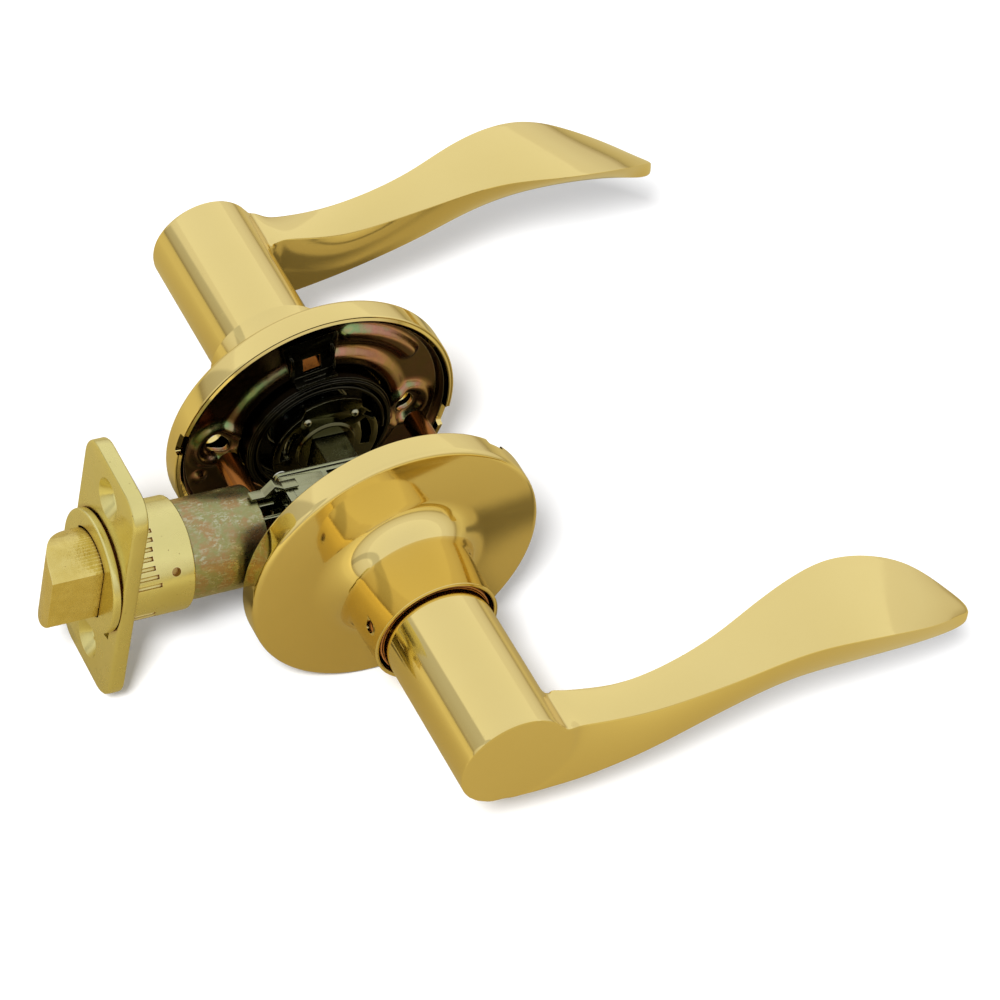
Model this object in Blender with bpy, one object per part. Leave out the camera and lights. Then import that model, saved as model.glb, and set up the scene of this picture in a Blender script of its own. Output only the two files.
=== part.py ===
"""Lever handle lockset: two brass lever handles on round roses, joined through a door by a
square spindle, and the spring latch that the spindle works.

Lengths below are in millimetres and become metres when a mesh is made. Local frame: the spindle
turns about the Y axis, y = 0 is the middle of the door, the latch points to -X, the levers to +X.
The empty "lockset" then shifts everything so that the world origin is the middle of the object.
In a half's own frame, "out" is the distance from the door's face, towards the lever."""

import math

import bmesh
import bpy
from mathutils import Matrix, Vector

MM = 0.001
GAP = 0.3                                # running and assembly clearance between neighbours

DOOR = 35.0                              # door thickness the halves clamp
BACKSET = 60.0                           # door edge to spindle axis
POST_X = 22.0                            # mounting posts stand this far each side of the spindle
POST_R = 2.5
POST_NECK_R = 1.1                        # riveted end of a post, through the front plate
POST_REACH = 32.6                        # how far a post reaches back from the front door face
SCREW_HOLE_R = 2.4                       # holes in the rear half for the screws into the posts
SPINDLE_SIDE = 7.5
SPINDLE_REACH = 25.5                     # spindle half length, past the door's middle

ROSE_R = 32.5
ROSE_RIM = 5.8                           # depth of the rose's rim
ROSE_SHEET = 1.2
ROSE_FILLET = 4.2                        # between the rose's face and its collar
NOTCH_WIDE = 5.2                         # notches in the rim for a prying tool
COLLAR_R = 14.0
COLLAR_BORE = 13.0
COLLAR_OUT = 24.9                        # collar mouth, out from the door's face
PIN_HOLE_OUT = 20.9                      # hole for the release pin, and the catch behind it
PIN_HOLE_R = 1.35
PIN_HOLE_Z = 1.7
CATCH_HOLE_R = 1.5

PLATE_R = 30.4
PLATE_BORE = 17.1
PLATE_SHEET = 1.0
HOUSING_R = 16.8
HOUSING_SHEET = 1.0
TORSION_COIL_R = 14.9                    # middle of the return spring's wire
TORSION_WIRE_R = 0.45
DRIVER_R = 13.8
DRIVER_FACE = -4.8                       # driver plate's inner face, out from the door's face
DRIVER_BACK = -3.6
DRIVER_RIVET_X = 5.5
DRIVER_RIVET_Z = 8.6
DRIVER_RIVET_R = 0.7
SLEEVE_R = 9.0
SLEEVE_BORE = 7.8
SHANK_R = 11.9
SHANK_BORE = 9.3
SHANK_START = 7.5
SHANK_OUT = 61.4                         # outer end of the lever's shank

LATCH_Y = -5.9                           # latch centre, slid along the spindle from mid door
BOLT_R = 9.3
BOLT_FLAT = 6.7                          # half width across the bolt's flats
BOLT_TIP = 73.1                          # bolt tip to spindle axis
TUBE_R = 10.5
TUBE_BORE = 9.7
LATCH_COLLAR_R = 12.0
FLANGE_R = 13.1
PLATE_WIDE = 25.4                        # faceplate, a standard size
PLATE_TALL = 57.15
PLATE_THICK = 3.4
PLATE_CORNER = 6.0
PLATE_SCREW_Z = 20.6
COLLAR_FRONT = -62.0                     # latch collar's front and rear ends
COLLAR_REAR = -43.4
BOLT_SHOULDER = -59.6
BEVEL_DEEP = 10.6                        # bolt's bevel, along the bolt
BEVEL_START_Y = 1.6 - BOLT_FLAT          # flat land left at the bolt's tip ends here

CASE_Y = 4.05                            # half thickness of the tail case
CASE_Z = 12.0                            # half height of the tail case
CASE_START = -20.0
CASE_END = 21.0
SHEET = 0.8
TONGUE_START = -32.3                     # the case's tongue reaches into the tube up to here
TONGUE_Z = 8.2
POST_NOTCH = 3.1                         # half width of the notch that clears the right post
CASE_RIVETS = ((-18.6, 10.2), (-18.6, -10.2), (16.6, 9.2), (16.6, -9.2))
CASE_RIVET_R = 0.9
CASE_RIVET_HEAD_R = 1.6
HUB_R = 6.6
CAM_LEAN = 30.0                          # degrees the cam arms lean back at rest
CAM_REACH = 9.5
CAM_HALF = 1.4                           # half width of a cam arm
BOLT_SPRING_R = 6.95
BOLT_WIRE_R = 0.5

# The grip's corners at stations along the lever: distance from the spindle axis, then
# (out, height) of the inner top, outer top, outer low and inner low edges.
GRIP = (
    (0.0, (51.0, 8.0), (60.8, 8.0), (60.8, -10.5), (51.0, -10.5)),
    (13.0, (51.6, 6.2), (60.2, 4.8), (61.3, -11.4), (50.2, -10.5)),
    (30.0, (51.7, 3.6), (60.8, 3.8), (62.0, -7.8), (50.2, -7.0)),
    (48.0, (50.2, 7.8), (62.0, 7.5), (61.2, -2.4), (50.8, -2.0)),
    (64.0, (46.6, 14.5), (64.2, 14.0), (60.4, 1.1), (51.9, 3.5)),
    (80.0, (43.3, 16.0), (65.3, 14.5), (60.2, 1.7), (51.5, 6.0)),
    (97.0, (46.0, 12.4), (61.8, 8.6), (58.9, 0.4), (51.1, 4.6)),
    (108.0, (52.6, 6.0), (57.6, 3.8), (57.3, -0.7), (51.6, 1.6)),
    (111.0, (54.8, 3.2), (56.3, 2.6), (56.3, 0.4), (54.4, 0.6)),
)
LEVER_TIP = GRIP[-1][0]
SPINDLE_X = -(LEVER_TIP - BOLT_TIP) / 2  # the spindle axis, from the middle of the object

FINE = 40                                # facets round the roses and plates
MEDIUM = 28
COARSE = 12

for existing in list(bpy.data.objects):
    bpy.data.objects.remove(existing)


# ---------------------------------------------------------------- materials

def metal(name, colour, roughness, metallic=1.0):
    material = bpy.data.materials.new(name)
    material.use_nodes = True
    shader = material.node_tree.nodes["Principled BSDF"]
    shader.inputs["Base Color"].default_value = (*colour, 1.0)
    shader.inputs["Metallic"].default_value = metallic
    shader.inputs["Roughness"].default_value = roughness
    return material


def polished_brass(name):
    return metal(name + "_brass", (0.78, 0.58, 0.22), 0.12)


def worn_brass(name):
    return metal(name + "_worn_brass", (0.74, 0.56, 0.24), 0.3)


def dichromate_steel(name):
    return metal(name + "_dichromate", (0.42, 0.36, 0.22), 0.32)


def galvanised_steel(name):
    return metal(name + "_galvanised", (0.44, 0.46, 0.42), 0.4)


def black_steel(name):
    return metal(name + "_black", (0.03, 0.03, 0.028), 0.35)


def olive_steel(name):
    return metal(name + "_olive", (0.07, 0.07, 0.045), 0.35)


def bright_steel(name):
    return metal(name + "_steel", (0.62, 0.61, 0.58), 0.25)


def copper_steel(name):
    return metal(name + "_copper", (0.48, 0.24, 0.12), 0.35)


def brown_nylon(name):
    return metal(name + "_nylon", (0.12, 0.05, 0.02), 0.45, 0.0)


# ---------------------------------------------------------------- mesh tools

def empty(name, parent=None, location=(0.0, 0.0, 0.0)):
    holder = bpy.data.objects.new(name, None)
    bpy.context.scene.collection.objects.link(holder)
    holder.parent = parent
    holder.location = Vector(location) * MM
    return holder


def solid(name, verts, faces):
    """An object from millimetre points, with its faces turned outwards."""
    mesh = bpy.data.meshes.new(name)
    mesh.from_pydata([Vector(v) * MM for v in verts], [], faces)
    work = bmesh.new()
    work.from_mesh(mesh)
    bmesh.ops.recalc_face_normals(work, faces=work.faces)
    work.to_mesh(mesh)
    work.free()
    obj = bpy.data.objects.new(name, mesh)
    bpy.context.scene.collection.objects.link(obj)
    return obj


def along_axis(axis, along, a, b):
    """A point at 'along' on the axis, offset a and b on the next two axes of the cycle."""
    if axis == "X":
        return (along, a, b)
    if axis == "Y":
        return (a, along, b)
    return (a, b, along)


def turned(name, profile, axis="Y", steps=MEDIUM, centre=(0.0, 0.0)):
    """A closed outline of (radius, place on the axis) turned once round the axis."""
    verts, rings = [], []
    for radius, along in profile:
        if radius == 0:
            rings.append([len(verts)] * steps)
            verts.append(along_axis(axis, along, *centre))
            continue
        rings.append(list(range(len(verts), len(verts) + steps)))
        for i in range(steps):
            angle = math.tau * (i + 0.5) / steps
            a = centre[0] + radius * math.cos(angle)
            b = centre[1] + radius * math.sin(angle)
            verts.append(along_axis(axis, along, a, b))
    faces = []
    for k, ring in enumerate(rings):
        other = rings[(k + 1) % len(rings)]
        for i in range(steps):
            j = (i + 1) % steps
            corners = list(dict.fromkeys((ring[i], ring[j], other[j], other[i])))
            if len(corners) > 2:
                faces.append(corners)
    return solid(name, verts, faces)


def rod(name, radius, start, end, axis="Y", steps=COARSE, centre=(0.0, 0.0)):
    profile = ((0, start), (radius, start), (radius, end), (0, end))
    return turned(name, profile, axis, steps, centre)


def tube(name, radius, bore, start, end, axis="Y", steps=MEDIUM):
    profile = ((radius, start), (radius, end), (bore, end), (bore, start))
    return turned(name, profile, axis, steps)


def slab(name, outline, start, end, axis):
    """A flat outline of (a, b) points given thickness along the axis."""
    count = len(outline)
    verts = [along_axis(axis, start, *p) for p in outline]
    verts += [along_axis(axis, end, *p) for p in outline]
    faces = [list(range(count)), list(range(count, 2 * count))]
    for i in range(count):
        j = (i + 1) % count
        faces.append([i, j, count + j, count + i])
    return solid(name, verts, faces)


def block(name, x, y, z):
    outline = ((x[0], y[0]), (x[1], y[0]), (x[1], y[1]), (x[0], y[1]))
    return slab(name, outline, z[0], z[1], "Z")


def arc(radius, start, end, count, centre=(0.0, 0.0)):
    """Points on an arc between two angles in degrees."""
    points = []
    for i in range(count + 1):
        angle = math.radians(start + (end - start) * i / count)
        points.append((centre[0] + radius * math.cos(angle), centre[1] + radius * math.sin(angle)))
    return points


def combine(obj, tool, operation):
    """Boolean of obj with tool, baked into obj; the tool is removed."""
    modifier = obj.modifiers.new(operation, "BOOLEAN")
    modifier.operation = operation
    modifier.solver = "EXACT"
    modifier.object = tool
    graph = bpy.context.evaluated_depsgraph_get()
    baked = bpy.data.meshes.new_from_object(obj.evaluated_get(graph))
    obj.modifiers.clear()
    obj.data = baked
    bpy.data.objects.remove(tool)


def cut(obj, *tools):
    for tool in tools:
        combine(obj, tool, "DIFFERENCE")


def join(obj, *tools):
    for tool in tools:
        combine(obj, tool, "UNION")


def coil(name, radius, wire, start, end, turns, axis, steps=12, sides=4):
    """A round wire wound round the axis, with flat ends."""
    verts, faces = [], []
    count = round(turns * steps)
    rise = (end - start) / math.tau / turns
    for i in range(count + 1):
        angle = math.tau * i / steps
        for k in range(sides):
            around = math.tau * k / sides
            out = radius + wire * math.cos(around)
            lift = wire * math.sin(around)
            along = start + rise * angle + lift
            verts.append(along_axis(axis, along, out * math.cos(angle), out * math.sin(angle)))
    for i in range(count):
        for k in range(sides):
            j = (k + 1) % sides
            a, b = i * sides, (i + 1) * sides
            faces.append([a + k, a + j, b + j, b + k])
    faces.append(list(range(sides)))
    faces.append(list(range(count * sides, (count + 1) * sides)))
    return solid(name, verts, faces)


def place(obj, parent, material, shift=(0.0, 0.0, 0.0)):
    """Parents a finished piece and gives it its material and smooth shading."""
    obj.parent = parent
    obj.location = Vector(shift) * MM
    obj.data.materials.clear()
    obj.data.materials.append(material(obj.name))
    obj.data.shade_smooth()
    obj.data.set_sharp_from_angle(angle=math.radians(35))
    return obj


def mount_half(obj, side):
    """Moves a piece from the half's own frame, where y is "out", to its side of the door."""
    flip = Matrix.Diagonal((1.0, side, 1.0, 1.0))
    obj.data.transform(flip @ Matrix.Translation((0.0, DOOR / 2 * MM, 0.0)))
    if side < 0:
        obj.data.flip_normals()
    return obj


# ---------------------------------------------------------------- one half: fixed pieces

def rose(name, notch_angles, hole_places):
    """The round cover: rim, shallow face, fillet and collar, turned from one sheet outline."""
    rim = [(ROSE_R, 0.0), (ROSE_R, ROSE_RIM - 1.6), (ROSE_R - 0.5, ROSE_RIM - 0.5),
           (ROSE_R - 1.7, ROSE_RIM)]
    fillet = arc(ROSE_FILLET, 270, 180, 4, (COLLAR_R + ROSE_FILLET, 11.0))
    collar = [(COLLAR_R, COLLAR_OUT - 0.6), (COLLAR_R - 0.4, COLLAR_OUT),
              (COLLAR_BORE - 0.2, COLLAR_OUT), (COLLAR_BORE, COLLAR_OUT - 0.6)]
    inner_r, inner_out = ROSE_R - ROSE_SHEET, ROSE_RIM - ROSE_SHEET
    inside = [(COLLAR_BORE, 11.0), (14.4, 7.6), (17.4, 5.6), (inner_r - 1.0, inner_out),
              (inner_r, inner_out - 1.0), (inner_r, 0.0)]
    obj = turned(name, rim + fillet + collar + inside, steps=FINE)
    pin_hole = rod("pin_hole", PIN_HOLE_R, -COLLAR_R - 1, -COLLAR_BORE + 1, "X", COARSE,
                   (PIN_HOLE_OUT, PIN_HOLE_Z))
    cut(obj, pin_hole)
    half = NOTCH_WIDE / 2
    for angle in notch_angles:
        notch = block("notch", (ROSE_R - 4, ROSE_R + 2), (-1.0, 1.5), (-half, half))
        notch.data.transform(Matrix.Rotation(math.radians(-angle), 4, "Y"))
        cut(obj, notch)
    for hole_x in hole_places:
        cut(obj, rod("screw_hole", SCREW_HOLE_R, 3.0, 8.0, "Y", COARSE, (hole_x, 0.0)))
    return obj


def mounting_plate(name):
    """Pressed plate: a lip at its edge, a flat ring, and a raised ring round the housing."""
    raised, flat = 1.6, 2.6
    inner_r = PLATE_R - PLATE_SHEET
    profile = ((PLATE_R, 0.6), (PLATE_R, flat + PLATE_SHEET), (19.2, flat + PLATE_SHEET),
               (18.8, raised + PLATE_SHEET), (PLATE_BORE, raised + PLATE_SHEET),
               (PLATE_BORE, raised), (19.6, raised), (20.0, flat), (inner_r, flat),
               (inner_r, 0.6))
    return turned(name, profile, steps=FINE)


def spring_housing(name):
    """Cup for the return spring, open towards the door, with a hole for the sleeve."""
    top = 4.4
    inner_r = HOUSING_R - HOUSING_SHEET
    hole_r = SLEEVE_R + 0.7
    profile = ((HOUSING_R, -2.2), (HOUSING_R, top), (hole_r, top), (hole_r, top - 0.8),
               (inner_r, top - 0.8), (inner_r, -2.2))
    return turned(name, profile, steps=MEDIUM)


def rose_clip(name):
    """Spring tab over the plate that holds the rose, with a window near its root."""
    obj = slab(name, ((-4.8, 17.4), (4.8, 17.4), (6.6, 28.6), (-6.6, 28.6)), 0.4, 1.2, "Y")
    join(obj, block("root", (-4.8, 4.8), (-2.0, 0.8), (17.4, 18.2)))
    cut(obj, block("window", (-2.2, 2.2), (-1, 2), (19.2, 22.6)))
    obj.data.transform(Matrix.Rotation(math.radians(-11), 4, "Y"))
    return obj


def post(name, post_x):
    """Post on the front plate: drilled for the screw, with a thin neck through the plate."""
    end, shoulder, top = -POST_REACH, 1.3, 4.4
    drilled, drill_r = end + 14.0, 1.8
    profile = ((POST_R, end), (POST_R, shoulder), (POST_NECK_R, shoulder), (POST_NECK_R, top),
               (0, top), (0, drilled), (drill_r, drilled), (drill_r, end))
    return turned(name, profile, steps=COARSE, centre=(post_x, 0.0))


def build_fixed_half(label, side, body, notch_angles):
    posts = (-POST_X, POST_X)
    screw_holes = posts if side > 0 else ()
    place(mount_half(rose(label + "_rose", notch_angles, screw_holes), side), body, polished_brass)
    plate = mounting_plate(label + "_mounting_plate")
    hole_r = SCREW_HOLE_R if side > 0 else POST_NECK_R + GAP
    for post_x in posts:
        cut(plate, rod("post_hole", hole_r, 0, 5, "Y", COARSE, (post_x, 0.0)))
    place(mount_half(plate, side), body, dichromate_steel)
    place(mount_half(spring_housing(label + "_spring_housing"), side), body, black_steel)
    spring = coil(label + "_torsion_spring", TORSION_COIL_R, TORSION_WIRE_R, -1.4, 2.8, 3.5, "Y",
                  steps=20)
    place(mount_half(spring, side), body, black_steel)
    bush = tube(label + "_collar_bush", COLLAR_BORE - GAP, SHANK_R + GAP, 11.5, COLLAR_OUT - 1.6)
    pin_hole = rod("pin_hole", PIN_HOLE_R + 0.15, -COLLAR_R, -COLLAR_BORE + 2, "X", COARSE,
                   (PIN_HOLE_OUT, PIN_HOLE_Z))
    cut(bush, pin_hole)
    place(mount_half(bush, side), body, brown_nylon)
    place(mount_half(rose_clip(label + "_rose_clip"), side), body, black_steel)


# ---------------------------------------------------------------- one half: turning pieces

def grip_corners(x):
    """The four (out, height) corners at distance x from the spindle, on a smooth curve."""
    stations = [s[0] for s in GRIP]
    k = max(i for i in range(len(stations) - 1) if stations[i] <= x or i == 0)
    t = (x - stations[k]) / (stations[k + 1] - stations[k])
    before, after = max(k - 1, 0), min(k + 2, len(GRIP) - 1)
    corners = []
    for c in range(1, 5):
        p0, p1, p2, p3 = (Vector(GRIP[i][c]) for i in (before, k, k + 1, after))
        span = stations[k + 1] - stations[k]
        m1 = (p2 - p0) * span / (stations[k + 1] - stations[before])
        m2 = (p3 - p1) * span / (stations[after] - stations[k])
        a = 2 * t ** 3 - 3 * t ** 2 + 1
        b = t ** 3 - 2 * t ** 2 + t
        corners.append(a * p1 + b * m1 + (1 - a) * p2 + (t ** 3 - t ** 2) * m2)
    return corners


def grip_section(x, softness=0.09, crown=0.035):
    """A rounded four-sided section: each corner is softened and each side bulges a little."""
    corners = grip_corners(x)
    middle = sum(corners, Vector((0.0, 0.0))) / 4
    points = []
    for i, corner in enumerate(corners):
        before, after = corners[i - 1], corners[(i + 1) % 4]
        start, end = corner.lerp(before, softness), corner.lerp(after, softness)
        for t in (0.0, 0.5, 1.0):
            points.append(start.lerp(corner, t).lerp(corner.lerp(end, t), t))
        side = (corner + after) / 2
        points.append(side + (side - middle) * crown)
    return points


def catch_hole(radius, bore):
    """Tool for the catch's hole through one wall of a shank or sleeve."""
    return rod("catch_hole", CATCH_HOLE_R, -radius - 1, -bore + 1, "X", COARSE, (PIN_HOLE_OUT, 0.0))


def lever(name):
    """Hollow shank with the grip swept from it along X, ending in a thin tip."""
    shank = ((SHANK_R, SHANK_START), (SHANK_R, SHANK_OUT - 1.5), (SHANK_R - 0.4, SHANK_OUT - 0.4),
             (SHANK_R - 1.5, SHANK_OUT), (0, SHANK_OUT), (0, 46.0), (SHANK_BORE, 46.0),
             (SHANK_BORE, SHANK_START))
    obj = turned(name, shank)
    stations = [2, 7, 13, 19, 25, 32, 39, 46, 53, 60, 66, 72, 78, 84, 90, 96, 101, 105, 108, 110]
    stations.append(LEVER_TIP)
    verts, faces = [], []
    for x in stations:
        verts += [(x, p[0], p[1]) for p in grip_section(x)]
    count = len(verts) // len(stations)
    for s in range(len(stations) - 1):
        for i in range(count):
            j = (i + 1) % count
            a, b = s * count, (s + 1) * count
            faces.append([a + i, a + j, b + j, b + i])
    faces.append(list(range(count)))
    faces.append(list(range(len(verts) - count, len(verts))))
    join(obj, solid("grip", verts, faces))
    cut(obj, catch_hole(SHANK_R, SHANK_BORE))
    return obj


def square_hole(start, end):
    half = SPINDLE_SIDE / 2 + GAP
    return block("square_hole", (-half, half), (start, end), (-half, half))


def driver_plate(name):
    """Disc that joins the spindle to the sleeve, with a raised top ear, two kidney slots and a
    tab that the return spring bears on."""
    outline = arc(DRIVER_R, 62, 118, 6) + arc(DRIVER_R - 1.6, 128, 412, 26)
    obj = slab(name, outline, DRIVER_FACE, DRIVER_BACK, "Y")
    join(obj, block("spring_tab", (-2.0, 2.0), (-4.0, 1.6), (-10.9, -9.7)))
    cut(obj, square_hole(-6, 0))
    for sign in (-1, 1):
        near, far = 90 - sign * 52, 90 - sign * 100
        slot = arc(10.4, near, far, 6) + arc(8.0, far, near, 6)
        cut(obj, slab("kidney_slot", slot, -6, -3, "Y"))
        rivet_place = (sign * DRIVER_RIVET_X, DRIVER_RIVET_Z)
        cut(obj, rod("rivet_hole", DRIVER_RIVET_R + GAP, -6, -3, "Y", 10, rivet_place))
    return obj


def driver_rivet(name, sign):
    head = DRIVER_FACE - GAP
    profile = ((0, head - 0.3), (1.1, head - 0.2), (1.1, head), (DRIVER_RIVET_R, head),
               (DRIVER_RIVET_R, -3.2), (0, -3.2))
    return turned(name, profile, steps=10, centre=(sign * DRIVER_RIVET_X, DRIVER_RIVET_Z))


def retaining_ring(name):
    """Open spring ring on the sleeve, behind the housing."""
    outline = arc(11.4, 20, 340, 20) + arc(SLEEVE_R + GAP, 340, 20, 20)
    return slab(name, outline, 4.8, 5.5, "Y")


def lever_catch(name):
    """Leaf inside the sleeve whose button locks the lever on."""
    obj = block(name, (-SLEEVE_BORE + 1.0, -SLEEVE_BORE + 1.5), (12.0, 24.0), (-1.9, 1.9))
    button_r = CATCH_HOLE_R - GAP
    join(obj, rod("button", button_r, -SHANK_R + 0.4, -SLEEVE_BORE + 1.2, "X", COARSE,
                  (PIN_HOLE_OUT, 0.0)))
    return obj


def build_turning_half(label, side, body, catch_body):
    place(mount_half(lever(label + "_lever"), side), body, polished_brass)
    sleeve = tube(label + "_drive_sleeve", SLEEVE_R, SLEEVE_BORE, -3.2, 42.0, steps=28)
    cut(sleeve, catch_hole(SLEEVE_R, SLEEVE_BORE))
    place(mount_half(sleeve, side), body, bright_steel)
    place(mount_half(driver_plate(label + "_driver_plate"), side), body, olive_steel)
    for word, sign in (("left", -1), ("right", 1)):
        rivet = driver_rivet(label + "_driver_rivet_" + word, sign)
        place(mount_half(rivet, side), body, bright_steel)
    place(mount_half(retaining_ring(label + "_retaining_ring"), side), body, bright_steel)
    place(mount_half(lever_catch(label + "_lever_catch"), side), catch_body, bright_steel)


def spindle(name):
    half = SPINDLE_SIDE / 2
    outline = ((-half, -half), (half, -half), (half, half), (-half, half))
    return slab(name, outline, -SPINDLE_REACH, SPINDLE_REACH, "Y")


# ---------------------------------------------------------------- latch, about y = 0

def faceplate(name):
    """Rounded plate with a hole for the collar and two countersunk screw holes."""
    y, z = PLATE_WIDE / 2 - PLATE_CORNER, PLATE_TALL / 2 - PLATE_CORNER
    outline = []
    for start, sy, sz in ((0, 1, 1), (90, -1, 1), (180, -1, -1), (270, 1, -1)):
        outline += arc(PLATE_CORNER, start, start + 90, 5, (sy * y, sz * z))
    front, back = -BACKSET, -BACKSET + PLATE_THICK
    obj = slab(name, outline, front, back, "X")
    cut(obj, rod("collar_hole", LATCH_COLLAR_R + GAP, front - 1, back + 1, "X", MEDIUM))
    for sign in (-1, 1):
        profile = ((0, front - 0.5), (4.5, front - 0.5), (2.2, front + 2.2), (2.2, back + 1),
                   (0, back + 1))
        cut(obj, turned("countersink", profile, "X", COARSE, (0.0, sign * PLATE_SCREW_Z)))
    notch = ((-8.1, -12.4), (-3.9, -12.4), (-6.5, -9.0))
    cut(obj, slab("notch", notch, front - 1, back + 1, "X"))
    return obj


def flat_sided(name, radius, flat, start, end):
    """A round bar along X with flats at y = +flat and y = -flat."""
    half = math.degrees(math.acos(flat / radius))
    outline = arc(radius, half, 180 - half, 10) + arc(radius, 180 + half, 360 - half, 10)
    return slab(name, outline, start, end, "X")


def latch_collar(name):
    """Front flange and the sleeve behind it, with a shaped hole for the bolt."""
    inside_r = TUBE_R + GAP
    inner_face, flange_back = COLLAR_FRONT + 2.0, COLLAR_FRONT + 1.7
    profile = ((FLANGE_R - 0.5, COLLAR_FRONT), (FLANGE_R, COLLAR_FRONT + 0.5),
               (FLANGE_R, flange_back), (LATCH_COLLAR_R, flange_back),
               (LATCH_COLLAR_R, COLLAR_REAR - 0.6), (LATCH_COLLAR_R - 0.6, COLLAR_REAR),
               (inside_r, COLLAR_REAR), (inside_r, inner_face), (0, inner_face),
               (0, COLLAR_FRONT))
    obj = turned(name, profile, "X")
    hole = flat_sided("bolt_hole", BOLT_R + GAP, BOLT_FLAT + GAP, COLLAR_FRONT - 1, inner_face + 1)
    cut(obj, hole)
    return obj


def latch_bolt(name):
    """Flat-sided head with a rounded bevel on its +Y side, and the round shoulder behind it."""
    obj = flat_sided(name, BOLT_R, BOLT_FLAT, -BOLT_TIP, BOLT_SHOULDER + 0.6)
    shoulder = ((0, BOLT_SHOULDER), (BOLT_R, BOLT_SHOULDER), (BOLT_R, -55.8), (7.8, -55.8),
                (7.8, -58.5), (0, -58.5))
    join(obj, turned("shoulder", shoulder, "X"))
    bevel = [(-BOLT_TIP - 1, BEVEL_START_Y), (-BOLT_TIP, BEVEL_START_Y)]
    for angle in (18, 36, 54, 72, 90):
        turn = math.radians(angle)
        x = -BOLT_TIP + BEVEL_DEEP * (1 - math.cos(turn))
        bevel.append((x, BEVEL_START_Y + 11.9 * math.sin(turn)))
    bevel += [(-BOLT_TIP + BEVEL_DEEP, BOLT_FLAT + 3), (-BOLT_TIP - 1, BOLT_FLAT + 3)]
    cut(obj, slab("bevel", bevel, -BOLT_R - 2, BOLT_R + 2, "Z"))
    return obj


def bolt_tail(name):
    """Strip from the bolt to the retractor's crossbar, with a head at each end."""
    obj = block(name, (-58.2, -35.4), (-0.6, 0.6), (3.2, 4.6))
    join(obj, block("head", (-36.3, -35.1), (-1.5, 1.5), (2.9, 5.3)))
    join(obj, block("foot", (-58.2, -57.4), (-3.0, 3.0), (-4.0, 4.6)))
    return obj


def case_plate(name, inner, outer):
    """Side plate of the tail case: a tongue into the tube, hub hole and post clearances."""
    notch_x = POST_X - 3.2
    outline = ((TONGUE_START, -TONGUE_Z), (CASE_START, -TONGUE_Z), (CASE_START, -CASE_Z),
               (CASE_END, -CASE_Z), (CASE_END, -POST_NOTCH), (notch_x, -POST_NOTCH),
               (notch_x, POST_NOTCH), (CASE_END, POST_NOTCH), (CASE_END, CASE_Z),
               (CASE_START, CASE_Z), (CASE_START, TONGUE_Z), (TONGUE_START, TONGUE_Z))
    obj = slab(name, outline, inner, outer, "Y")
    low, high = min(inner, outer) - 1, max(inner, outer) + 1
    cut(obj, rod("hub_hole", HUB_R + GAP, low, high, "Y", MEDIUM))
    cut(obj, rod("post_hole", POST_R + 0.5, low, high, "Y", COARSE, (-POST_X, 0.0)))
    for rivet_place in CASE_RIVETS:
        cut(obj, rod("rivet_hole", CASE_RIVET_R + GAP, low, high, "Y", 10, rivet_place))
    return obj


def latch_case_body(name):
    obj = case_plate(name, -CASE_Y, -CASE_Y + SHEET)
    flange_y = (-CASE_Y, CASE_Y - SHEET - GAP)
    join(obj, block("top_flange", (CASE_START, CASE_END), flange_y, (CASE_Z - SHEET, CASE_Z)))
    join(obj, block("low_flange", (CASE_START, CASE_END), flange_y, (-CASE_Z, -CASE_Z + SHEET)))
    cut(obj, block("slot", (-9.5, -3.0), (-CASE_Y + SHEET + 0.4, 2.0), (CASE_Z - 2, CASE_Z + 1)))
    return obj


def case_rivet(name, rivet_place):
    """Rivet through both side plates, with a flat head at each end."""
    head = CASE_Y + GAP
    end = head + 0.4
    profile = ((0, -end), (CASE_RIVET_HEAD_R, -end), (CASE_RIVET_HEAD_R, -head),
               (CASE_RIVET_R, -head), (CASE_RIVET_R, head), (CASE_RIVET_HEAD_R, head),
               (CASE_RIVET_HEAD_R, end), (0, end))
    return turned(name, profile, steps=10, centre=rivet_place)


def tail_clip(name):
    """Small bent strip on top of the tail, between the tube and the case."""
    top = ((-27.5, 11.6), (-24.6, 11.6), (-22.6, 14.0), (-20.4, 12.8), (-17.0, 12.8))
    underside = ((-17.0, 12.3), (-20.6, 12.3), (-22.5, 13.2), (-24.3, 10.9), (-27.5, 10.9))
    return slab(name, top + underside, -1.5, 2.2, "Y")


def latch_hub(name):
    """Round hub with a square hole and two rounded arms that lean back from the bolt."""
    obj = rod(name, HUB_R, -CASE_Y - 0.5, CASE_Y + 0.5, "Y", MEDIUM)
    lean = math.radians(CAM_LEAN)
    for sign in (-1, 1):
        tip = Vector((-CAM_REACH * math.sin(lean), sign * CAM_REACH * math.cos(lean)))
        across = Vector((sign * tip.y, -sign * tip.x)).normalized()
        start = math.degrees(math.atan2(across.y, across.x))
        outline = [tuple(-CAM_HALF * across), tuple(CAM_HALF * across)]
        outline += arc(CAM_HALF, start, start + sign * 180, 6, tuple(tip))
        join(obj, slab("arm", outline, -1.2, 1.2, "Y"))
    cut(obj, square_hole(-CASE_Y - 2, CASE_Y + 2))
    return obj


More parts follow.
